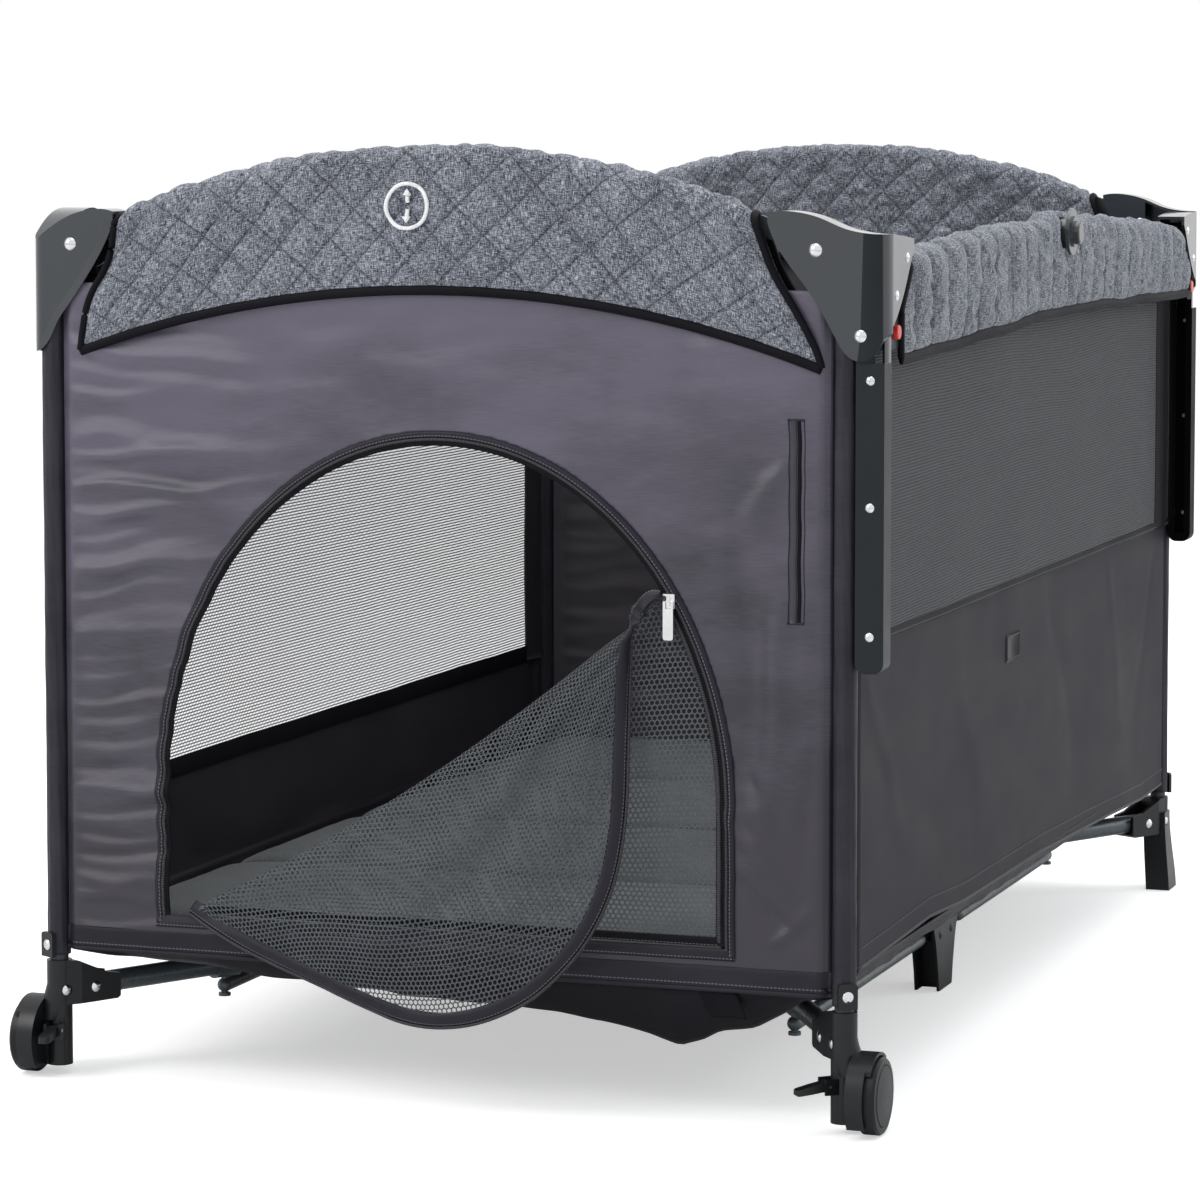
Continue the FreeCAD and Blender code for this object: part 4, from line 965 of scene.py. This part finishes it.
trim("door_binding_low", door_plane, lined(120, P1, (DOOR_X + DOOR_A - 7, P1[1])), rounded(-4.0, 4.0, 1.6, -1.2),
     M_BLACK_S)
trim("door_binding_side", door_plane, RIM[TURN:], rounded(-6.5, 6.0, 1.5, -1.2), M_BLACK_S)


def moving_copy(node, body):
    """The zip's metal follows the cloth when the wall folds up."""
    obj = bpy.data.objects.new(node + "_shown", NODES[node].data.copy())
    bpy.context.scene.collection.objects.link(obj)
    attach(obj, body)
    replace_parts(obj, node)
    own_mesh(obj)


moving_copy("zip_slider", "corner_fl")
moving_copy("zip_pull", "zip_pull")


# ---- quilted covers ----
END_TOP, END_LOW = (754, 810.5), (967.8, 688)               # arches of the end covers: radius, height in the middle
END_HALF = 318.0                                            # their half length, about; it changes with the height:
RIGHT_END = ([600, 632, 671, 704, 756, 900], [339, 338, 317, 295.5, 276, 273])
LEFT_END = ([600, 632, 676, 710, 753, 900], [325, 324, 316.5, 294, 289.5, 287])
CAP_WING = ([674, 689, 707, 719], [38, 51, 66, 77])         # height, and the drop side cover's distance from the leg
BUTTON_Z, BUTTON_HOLE = 724, 15.5                           # height and radius of the holes for the lock buttons


def outward(pts, axis, middle_line):
    """Normals of a cover, pointing away from its middle line."""
    n = unit(np.cross(np.gradient(pts, axis=1), np.gradient(pts, axis=0)))
    return -n if (n[..., axis] * (pts[..., axis] - middle_line)).sum() < 0 else n


def fill_out(pts, normal, sewn, pressure, grow, most):
    """Cloth simulation: the cover fills out between the places where it is sewn down.
    Returns the movement of every point in mm, no larger than most."""
    nv, nu = pts.shape[:2]
    faces = np.array(quads(nv, nu))
    flat = (pts + normal * 0.5).reshape(-1, 3)
    a, b, c = (flat[faces[:, k]] for k in (0, 1, 2))
    if (np.cross(b - a, c - a) * normal.reshape(-1, 3)[faces[:, 0]]).sum() < 0:
        faces = faces[:, ::-1]
    obj = build("cover_in_work", flat, faces.tolist(), np.zeros((len(flat), 2)), [])
    group = obj.vertex_groups.new(name="sewn")
    group.add(np.flatnonzero(sewn.ravel()).tolist(), 1.0, "REPLACE")
    m = obj.modifiers.new("Cloth", "CLOTH")
    cloth = m.settings
    for key, value in dict(quality=4, mass=0.15, tension_stiffness=12, compression_stiffness=12, shear_stiffness=6,
                           bending_stiffness=0.25, vertex_group_mass="sewn", shrink_min=-grow, use_pressure=True,
                           uniform_pressure_force=pressure).items():
        setattr(cloth, key, value)
    cloth.effector_weights.gravity = 0
    m.collision_settings.use_collision = False
    m.point_cache.frame_end = SIM_FRAMES
    for f in range(1, SIM_FRAMES + 1):
        bpy.context.scene.frame_set(f)
    shown = obj.evaluated_get(bpy.context.evaluated_depsgraph_get())
    me = shown.to_mesh()
    filled = np.empty(len(me.vertices) * 3, np.float32)
    me.vertices.foreach_get("co", filled)
    shown.to_mesh_clear()
    bpy.data.objects.remove(obj)
    bpy.context.scene.frame_set(1)
    move = (filled.reshape(-1, 3) - metres(flat)) * 1000
    size = np.linalg.norm(move, axis=1, keepdims=True)
    move *= np.minimum(1, most / np.maximum(size, 1e-6))
    return move.reshape(pts.shape)


def cover_rows(half, top_r, n_side, n_top):
    """Rows of a cover from its outer lower edge over the rail to its inner one, as (across, fall): across in mm,
    fall 0 at the shoulder and 1 at the lower edge. A negative fall is mm above the shoulder."""
    top = [(-half * math.cos(a), -math.sin(a) * top_r) for a in np.linspace(0, math.pi, n_top)[1:-1]]
    return [(-half, f) for f in np.linspace(1, 0, n_side)] + top + [(half, f) for f in np.linspace(0, 1, n_side)]


def rounded_interp(x, at, values):
    """Piecewise linear with the corners rounded off over 24 mm."""
    return sum(np.interp(x + d, at, values) for d in (-12, -6, 0, 6, 12)) / 5


def end_cover(sy, name, side, seed):
    """Arched cover over an end rail, quilted in diamonds. Returns the cover and its points."""
    step, top_r = 3.0, 11.0
    nu = int(660 / step)
    rows = cover_rows(13.6, top_r, int(112 / step), int(44 / step))
    u = np.linspace(-1, 1, nu + 1)
    pts = np.zeros((len(rows), nu + 1, 3))

    def arch(x, radius, z_middle):
        return z_middle - radius + np.sqrt(radius ** 2 - x ** 2)

    for i, (across, fall) in enumerate(rows):
        x = u * END_HALF
        for _ in range(3):                                    # the ends lean, so x and z settle together
            shoulder = arch(x, *END_TOP) - top_r - 4
            z = shoulder + (arch(x, *END_LOW) - shoulder) * fall if fall >= 0 else shoulder - fall
            x = u * np.where(u > 0, rounded_interp(z, *RIGHT_END), rounded_interp(z, *LEFT_END))
        pts[i] = np.stack([x, np.full_like(x, sy * (HY - across)), z], -1)
    run = run_along(pts[:, nu // 2])
    uv = np.stack([pts[..., 0], run[:, None] + 0 * pts[..., 0]], -1)
    n = outward(pts, 1, sy * HY)
    s, t = uv[..., 0], uv[..., 1]
    warp = 2.2 * noise(s / 60, t / 60, seed)
    p, q = (s + t + warp) / QUILT_PITCH, (s - t + warp) / QUILT_PITCH
    calm = 1 - 0.45 * smooth(150, 40, np.abs(s + 20)) * smooth(60, 100, t) * smooth(run[-1] - 60, run[-1] - 110, t)
    puffs = (np.abs(np.sin(math.pi * p)) * np.abs(np.sin(math.pi * q))) ** 0.55
    h = 4.6 * puffs * calm
    wrinkle = noise(s / 44, t / 9, seed + 1) * 1.0 + noise(s / 11, t / 26, seed + 2) * 0.5
    h += wrinkle * (0.35 + 0.65 * smooth(40, 95, t)) + 1.6 * noise(s / 120, t / 80, seed + 3)
    edge = smooth(0, 16, np.minimum(np.minimum(t, run[-1] - t), (1 - np.abs(u[None, :])) * END_HALF))
    pts = pts + n * (h * edge - 1.2)[..., None]
    seam = np.minimum(np.abs(p - np.round(p)), np.abs(q - np.round(q))) * QUILT_PITCH / math.sqrt(2)
    pts = pts + fill_out(pts, n, (seam < 1.6) | (edge < 0.35), 4.0, 0.07, 6.5)
    uv[..., 0] += warp
    obj = surface(name, pts, uv, [M_QUILT.m], thick=2.4, flip=sy > 0)
    soft(obj, side)
    return obj, pts


def edge_tube(name, line3, radius, flat, side):
    """A soft piping along a line in space; radius across it, flat along its upright."""
    d = unit(np.gradient(line3, axis=0))
    a = np.cross(d, [0.0, 0.0, 1.0])
    weak = np.linalg.norm(a, axis=1) < 0.2
    a[weak] = np.cross(d[weak], [1.0, 0.0, 0.0])
    a = unit(a)
    b = np.cross(a, d)
    n = 8
    ring = [(radius * math.cos(k * math.tau / n), flat * math.sin(k * math.tau / n)) for k in range(n)]
    pts = np.stack([line3 + a * c + b * s for c, s in ring], 1)
    uv = np.stack(np.meshgrid(run_along(line3), np.arange(n) * radius * 0.8, indexing="ij"), -1)
    faces = quads(len(line3), n, True) + [f[::-1] for f in ends(len(line3), n)]
    soft(build(name, pts.reshape(-1, 3), faces, uv.reshape(-1, 2), [M_BLACK.m]), side)


def piping(pts, label, side, tags, radius, flat_out, flat_in, end):
    """Piping on the four edges of a cover."""
    edge_tube("piping_low_out_" + label, pts[0] + [0, 0, -1], radius, flat_out, side)
    edge_tube("piping_low_in_" + label, pts[-1] + [0, 0, -1], radius, flat_in, side)
    for k, tag in zip((0, -1), tags):
        edge_tube("piping_end_%s_%s" % (tag, label), pts[:, k], end, end, side)


FRONT_COVER, front_pts = end_cover(-1, "quilt_front", "front", 81)
_, back_pts = end_cover(1, "quilt_back", "back", 91)
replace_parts(FRONT_COVER, "quilt_ends")
for side, pts in (("front", front_pts), ("back", back_pts)):
    piping(pts, side, side, "lr", 2.4, 4.2, 4.2, 3.2)


def long_cover(x_mid, s_out, name, side, seed):
    """Cover over a long rail, sewn in upright channels, with a hole for the lock's button. s_out is the outward
    direction: 1 for the drop side, whose ends follow the caps' wings. Returns the cover and its points."""
    step, top_r = 3.2, 10.0
    y_end = HY - (35 if s_out > 0 else 68)
    nu, n_side = int(2 * y_end / step), int(80 / step)
    rows = cover_rows(13.4, top_r, n_side, int(40 / step))
    u = np.linspace(-1, 1, nu + 1)
    y = u * y_end
    z_top = 720 + 19 * (1 - (y / y_end) ** 2) + 6 * np.exp(-(y / 60) ** 2) + 3.0 * noise(y / 160, 0 * y, seed)
    z_low = 636 + 17 * smooth(-y_end, 60, y) - 2 * smooth(100, y_end, y) + 2.5 * noise(y / 120, 0 * y + 7, seed)
    pts = np.zeros((len(rows), nu + 1, 3))
    for i, (across, fall) in enumerate(rows):
        shoulder = z_top - top_r - 3
        low = z_low + (10 if i >= len(rows) - n_side else 0)
        z = shoulder + (low - shoulder) * fall if fall >= 0 else shoulder - fall
        end = HY - np.interp(z, *CAP_WING) if s_out > 0 else y_end
        narrow = 0.8 if s_out > 0 and across > 0 else 1.0        # room for the wall when the side drops
        pts[i] = np.stack([np.full_like(y, x_mid - s_out * across * narrow), u * end, z], -1)
    run = run_along(pts[:, nu // 2])
    uv = np.stack([pts[..., 1], run[:, None] + 0 * pts[..., 1]], -1)
    n = outward(pts, 0, x_mid)
    s, t = uv[..., 0], uv[..., 1]
    warp = 7.0 * noise(s / 170, t / 70, seed + 4) + 2.5 * noise(s / 40, t / 34, seed + 5)
    p = (s + warp) / CHANNEL_PITCH
    h = 5.6 * np.abs(np.sin(math.pi * p)) ** 0.6 + 1.0 * noise(s / 34, t / 11, seed + 1)
    h = h + 0.3 * noise(s / 14, t / 30, seed + 2) + 1.4 * noise(s / 150, t / 60, seed + 3)
    edge = smooth(0, 14, np.minimum(np.minimum(t, run[-1] - t), (1 - np.abs(u[None, :])) * y_end))
    outer = t < run[-1] / 2
    near = np.hypot(pts[..., 1], pts[..., 2] - BUTTON_Z)              # distance from the lock's button
    calm = np.where((t > 0.62 * run[-1]) & (s_out > 0), 0.3, 1.0)
    h = h * edge * smooth(14, 40, np.where(outer, near, 99)) * calm
    hole = (near < BUTTON_HOLE) & outer
    pts = pts + n * (h * 0.75 - 1.0)[..., None]
    seam = np.abs(p - np.round(p)) * CHANNEL_PITCH
    pts = pts + fill_out(pts, n, (seam < 1.9) | (edge < 0.3) | (near < 19) & outer, 4.0, 0.06, 5.5)
    uv[..., 0] += warp
    obj = surface(name, pts, uv, [M_CHANNEL.m], keep=~hole, thick=2.2, flip=s_out < 0)
    soft(obj, side)
    return obj, pts


LEFT_COVER, left_pts = long_cover(-HX, -1, "quilt_left_cover", "left", 101)
RIGHT_COVER, right_pts = long_cover(DROP_X, 1, "quilt_right_cover", "drop", 111)
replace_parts(LEFT_COVER, "quilt_left")
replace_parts(RIGHT_COVER, "quilt_right")
piping(left_pts, "quilt_left", "left", "fb", 2.2, 5.0, 4.0, 3.0)
piping(right_pts, "quilt_right", "drop", "fb", 2.2, 5.0, 4.0, 3.0)


# ---- printed ring with two arrows on the front cover ----
def on_front_cover(x, z):
    """The cover's outer side, mostly at its highest point nearby, so that seams don't cut the print."""
    half = len(front_pts) // 2
    y = np.zeros(x.shape)
    for k in np.ndindex(x.shape):
        j = int(np.argmin(np.abs(front_pts[half // 2, :, 0] - x[k])))
        i = int(np.argmin(np.abs(front_pts[:half, j, 2] - z[k])))
        i = min(max(i, 1), half - 1)
        (y0, z0), (y1, z1) = front_pts[i - 1, j, 1:], front_pts[i + 1, j, 1:]
        f = np.clip((z[k] - z0) / (z1 - z0), 0, 1)
        around = front_pts[max(i - 2, 0):i + 3, max(j - 2, 0):j + 3, 1]
        y[k] = 0.4 * (y0 * (1 - f) + y1 * f) + 0.6 * around.min()
    return facing(np.stack([x, y, z], -1), (0, -1, 0))


RING_AT = np.array([-21.0, 757.0])
t = np.linspace(0, math.tau, 72, endpoint=False)
trim("print_ring", on_front_cover, RING_AT + 18.6 * np.stack([np.cos(t), np.sin(t)], 1),
     [(-1.6, 0.8), (0, 0.9), (1.6, 0.8), (1.6, -0.6), (-1.6, -0.6)], M_PRINT, "front", closed=True)
for sgn, tag in ((1, "up"), (-1, "down")):
    trim("print_stem_" + tag, on_front_cover, lined(6, RING_AT + [0, 2.6 * sgn], RING_AT + [0, 9.2 * sgn]),
         [(-1.8, 0.9), (1.8, 0.9), (1.8, -0.5), (-1.8, -0.5)], M_PRINT, "front")
    tip = RING_AT + np.array([[0, 14.4], [-4.0, 8.8], [4.0, 8.8]]) * [1, sgn]
    front_y = on_front_cover(tip[:, 0], tip[:, 1])[0][:, 1].min() - 1.0
    p3 = np.array([[x, y, z] for y in (front_y, front_y + 1.2) for x, z in tip])
    faces = [[0, 1, 2], [5, 4, 3], [0, 3, 4, 1], [1, 4, 5, 2], [2, 5, 3, 0]]
    soft(build("print_head_" + tag, p3, faces, p3[:, [0, 2]], [M_PRINT.m]), "front")

# ---- plain patch on the right wall ----
PATCH_AT, PATCH_HALF, PATCH_R = np.array([-86.0, 342.0]), np.array([26.0, 13.0]), 2.5
outline = []
for k, to_corner in enumerate(((1, 1), (-1, 1), (-1, -1), (1, -1))):
    a = np.linspace(k * math.pi / 2, (k + 1) * math.pi / 2, 6)
    outline.append(PATCH_AT + to_corner * (PATCH_HALF - PATCH_R) + PATCH_R * np.stack([np.cos(a), np.sin(a)], 1))
outline = np.concatenate(outline)
PATCH_X = S_RIGHT(outline[:, 0], outline[:, 1])[0][:, 0].max() + 0.5       # its face, clear of the wall's folds
n = len(outline)
p3 = np.concatenate([np.insert(outline, 0, PATCH_X, 1), np.insert(outline, 0, PATCH_X - 2.2, 1)])
faces = [list(range(n)), list(range(n, 2 * n))[::-1]] + [[k, (k + 1) % n, (k + 1) % n + n, k + n] for k in range(n)]
soft(build("patch_right", p3, faces, p3[:, [1, 2]], [M_PATCH.m]), "right")


def patch_face(y, z):
    return facing(np.stack([np.full(np.shape(y), PATCH_X), y, z], -1), (1, 0, 0))


trim("patch_rim", patch_face, PATCH_AT + (outline - PATCH_AT) * [0.9, 0.82],
     [(-0.7, 0.5), (0, 0.7), (0.7, 0.5), (0.7, -0.3), (-0.7, -0.3)], M_PATCH, "right", closed=True)

# ---- mattress: four padded boards under one cloth ----
M_LO, M_HI = [(np.array(corner) - (XC, YC, 0)) * 1000 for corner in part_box("mattress")]


def board(index, count, gap=1.5):
    step = 7.0
    span = (M_HI[1] - M_LO[1]) / count
    y0, y1 = M_LO[1] + index * span + gap / 2, M_LO[1] + (index + 1) * span - gap / 2
    x0, x1 = M_LO[0], M_HI[0]
    nx, ny = int((x1 - x0) / step), int((y1 - y0) / step)
    u, v = np.meshgrid(np.linspace(-1, 1, nx), np.linspace(-1, 1, ny))
    crown = (1 - np.abs(u) ** 10) ** 0.4 * (1 - np.abs(v) ** 8) ** 0.4
    x, y = (x0 + x1) / 2 + u * (x1 - x0) / 2, (y0 + y1) / 2 + v * (y1 - y0) / 2
    wrinkle = 1.3 * noise(x / 90, y / 60, 120 + index) + 0.8 * ridged(x / 150, y / 46, 124 + index)
    top = M_LO[2] + 9 + (M_HI[2] - M_LO[2] - 10) * crown + wrinkle * crown
    bottom = M_LO[2] + 1.0 + (1 - crown) * 7
    pts = np.concatenate([np.stack([x, y, z], -1).reshape(-1, 3) for z in (top, bottom)])
    uv = np.tile(np.stack([x, y], -1).reshape(-1, 2), (2, 1))
    f = np.array(quads(ny, nx))
    n = nx * ny
    at = np.arange(n).reshape(ny, nx)
    rim = [int(k) for k in (*at[0], *at[1:, -1], *at[-1, -2::-1], *at[-2:0:-1, 0])]
    wall = [[b, a, a + n, b + n] for a, b in zip(rim, rim[1:] + rim[:1])]
    obj = build("mattress_board_%d" % index, pts, f.tolist() + (f[:, ::-1] + n).tolist() + wall, uv, [M_MATTRESS.m])
    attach(obj, "mattress")
    return obj


BOARDS = 4
boards = [board(i, BOARDS) for i in range(BOARDS)]
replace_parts(boards[0], "mattress")


# ---- floor cloth: slack strips under the hem, on all four sides ----
def under(name, side, sign, half, top, low_fn, reach):
    """A strip that hangs from the hem to low_fn and comes back up and inwards by reach."""
    v, step = np.linspace(0, 1, 16), 6.0
    aa, vv = np.meshgrid(np.linspace(-half, half, int(2 * half / step) + 1), v)
    low = low_fn(aa)
    across = side in ("front", "back")
    out = sign * ((HY if across else HX) + SLEEVE_R - 2.6 - reach * vv ** 1.15)
    z = top + (low - top) * np.sin(np.clip(vv * 3.8, 0, 1) * math.pi / 2) * (1 - smooth(0.6, 1.0, vv))
    z += 2.6 * noise((aa + 60 * vv) / 44, vv * 3, 140) * smooth(0, 0.2, vv)
    pts = np.stack([aa, out, z] if across else [out, aa, z], -1)
    obj = surface(name, pts, np.stack([aa, vv * reach], -1), [M_UNDER.m], thick=0.8)
    soft(obj, side)
    return obj


def front_low(x):
    return np.interp(x, [-345, -262, -120, 0, 100, 140, 183, 208, 227, 243, 274, 300, 318, 345],
                     [106, 102, 92, 84, 80, 76, 68, 59, 64, 74, 80, 92, 104, 108])


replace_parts(under("floor_front", "front", -1, HX - 12, HEM + 6, front_low, 120), "floor_cloth")
under("floor_back", "back", 1, HX - 12, HEM + 6, lambda x: 104 + 0 * x, 70)
for side, sign in (("left", -1), ("right", 1)):
    under("floor_" + side, side, sign, HY - 14, HEM + 20, lambda y: 117 + 0 * y, 50)
t, v = np.meshgrid(np.linspace(0, 1, 14), np.linspace(0, 1, 12))
tab = np.stack([231 + 32 * t + 12 * v, -(HY + 6) - 3 * np.sin(2 * t) * v, 113 - 24 * v + 1.5 * np.sin(3 * t)], -1)
soft(surface("floor_tab", tab, tab[..., [0, 2]], [M_BLACK.m], thick=1.0), "front")
x, y = np.meshgrid(np.linspace(-HX + 24, HX - 24, 40), np.linspace(-HY + 30, HY - 30, 60))
z = HEM + 2.6 + 0.5 * noise(x / 90, y / 90, 150)
base_sheet = surface("floor_lining", np.stack([x, y, z], -1), np.stack([x, y], -1), [M_BLACK.m], thick=0.8,
                     flip=True)
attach(base_sheet, "mattress")

# ---- stage, light and camera ----
world = bpy.data.worlds.new("studio")
bpy.context.scene.world = world
world.use_nodes = True
wt = world.node_tree
wt.nodes.clear()
w_out = wt.nodes.new("ShaderNodeOutputWorld")
w_light, w_cam = wt.nodes.new("ShaderNodeBackground"), wt.nodes.new("ShaderNodeBackground")
for shade, color, strength in ((w_light, (0.96, 0.98, 1.0, 1), 0.62), (w_cam, (1, 1, 1, 1), 1.0)):
    shade.inputs[0].default_value = color
    shade.inputs[1].default_value = strength
w_mix = wt.nodes.new("ShaderNodeMixShader")
path = wt.nodes.new("ShaderNodeLightPath")
sees, also = wt.nodes.new("ShaderNodeMath"), wt.nodes.new("ShaderNodeMath")
sees.operation = also.operation = "MAXIMUM"
for a, b in ((path.outputs["Is Camera Ray"], sees.inputs[0]), (path.outputs["Is Transmission Ray"], sees.inputs[1]),
             (sees.outputs[0], also.inputs[0]), (path.outputs["Is Glossy Ray"], also.inputs[1]),
             (also.outputs[0], w_mix.inputs[0]), (w_light.outputs[0], w_mix.inputs[1]),
             (w_cam.outputs[0], w_mix.inputs[2]), (w_mix.outputs[0], w_out.inputs[0])):
    wt.links.new(a, b)

floor_mesh = bpy.data.meshes.new("stage_floor")
floor_mesh.from_pydata([(-12, -12, 0), (12, -12, 0), (12, 12, 0), (-12, 12, 0)], [], [(0, 1, 2, 3)])
floor = bpy.data.objects.new("stage_floor", floor_mesh)
floor.location = (0, 0, -0.0006)
bpy.context.scene.collection.objects.link(floor)
M_FLOOR = Mat("stage_white", (0.93, 0.93, 0.93, 1), 0.7, Specular_IOR_Level=0.1)
M_FLOOR.color(M_FLOOR.mix(M_FLOOR.noise(M_FLOOR.obj(), 3.0, 2), (0.92, 0.92, 0.92, 1), (0.94, 0.94, 0.94, 1)))
glow = M_FLOOR.node("Emission")
glow.inputs["Strength"].default_value = 0.5
both = M_FLOOR.node("AddShader")
seen = M_FLOOR.node("MixShader")
M_FLOOR.t.links.new(M_FLOOR.b.outputs[0], both.inputs[0])
M_FLOOR.t.links.new(glow.outputs[0], both.inputs[1])
M_FLOOR.t.links.new(M_FLOOR.node("LightPath").outputs["Is Camera Ray"], seen.inputs[0])
M_FLOOR.t.links.new(M_FLOOR.b.outputs[0], seen.inputs[1])
M_FLOOR.t.links.new(both.outputs[0], seen.inputs[2])
M_FLOOR.t.links.new(seen.outputs[0], M_FLOOR.out.inputs[0])
floor_mesh.materials.append(M_FLOOR.m)


def lamp(name, at, look, size, watts, color=(1, 1, 1)):
    data = bpy.data.lights.new(name, "AREA")
    data.shape = "RECTANGLE"
    data.size, data.size_y = size
    data.energy = watts
    data.color = color
    obj = bpy.data.objects.new(name, data)
    obj.location = at
    obj.rotation_euler = (Vector(look) - Vector(at)).to_track_quat("-Z", "Y").to_euler()
    bpy.context.scene.collection.objects.link(obj)


lamp("key", (-2.6, -3.2, 3.2), (0, -0.3, 0.4), (2.2, 2.2), 95, (1.0, 0.985, 0.97))
lamp("top", (0.3, 0.4, 3.6), (0, 0, 0.3), (3.0, 3.6), 70)
lamp("rim", (3.6, 2.2, 2.0), (0.3, 0.2, 0.5), (1.6, 2.4), 26, (0.96, 0.98, 1.0))

cam = bpy.data.cameras.new("camera")
cam_obj = bpy.data.objects.new("camera", cam)
bpy.context.scene.collection.objects.link(cam_obj)
CAMERA_AT, YAW, PITCH = (1315.2, -4023.8, 810.1), -0.3320, 0.0774      # mm and radians, from the legs in the photo
cam_obj.location = Vector(metres(CAMERA_AT))
forward = Vector((math.sin(YAW) * math.cos(PITCH), math.cos(YAW) * math.cos(PITCH), -math.sin(PITCH)))
cam_obj.rotation_euler = forward.to_track_quat("-Z", "Y").to_euler()
cam.sensor_width = 36
cam.lens = 130.8
cam.shift_y = -0.1
cam.clip_start, cam.clip_end = 0.05, 60
bpy.context.scene.camera = cam_obj
bpy.context.scene.view_settings.view_transform = "Standard"
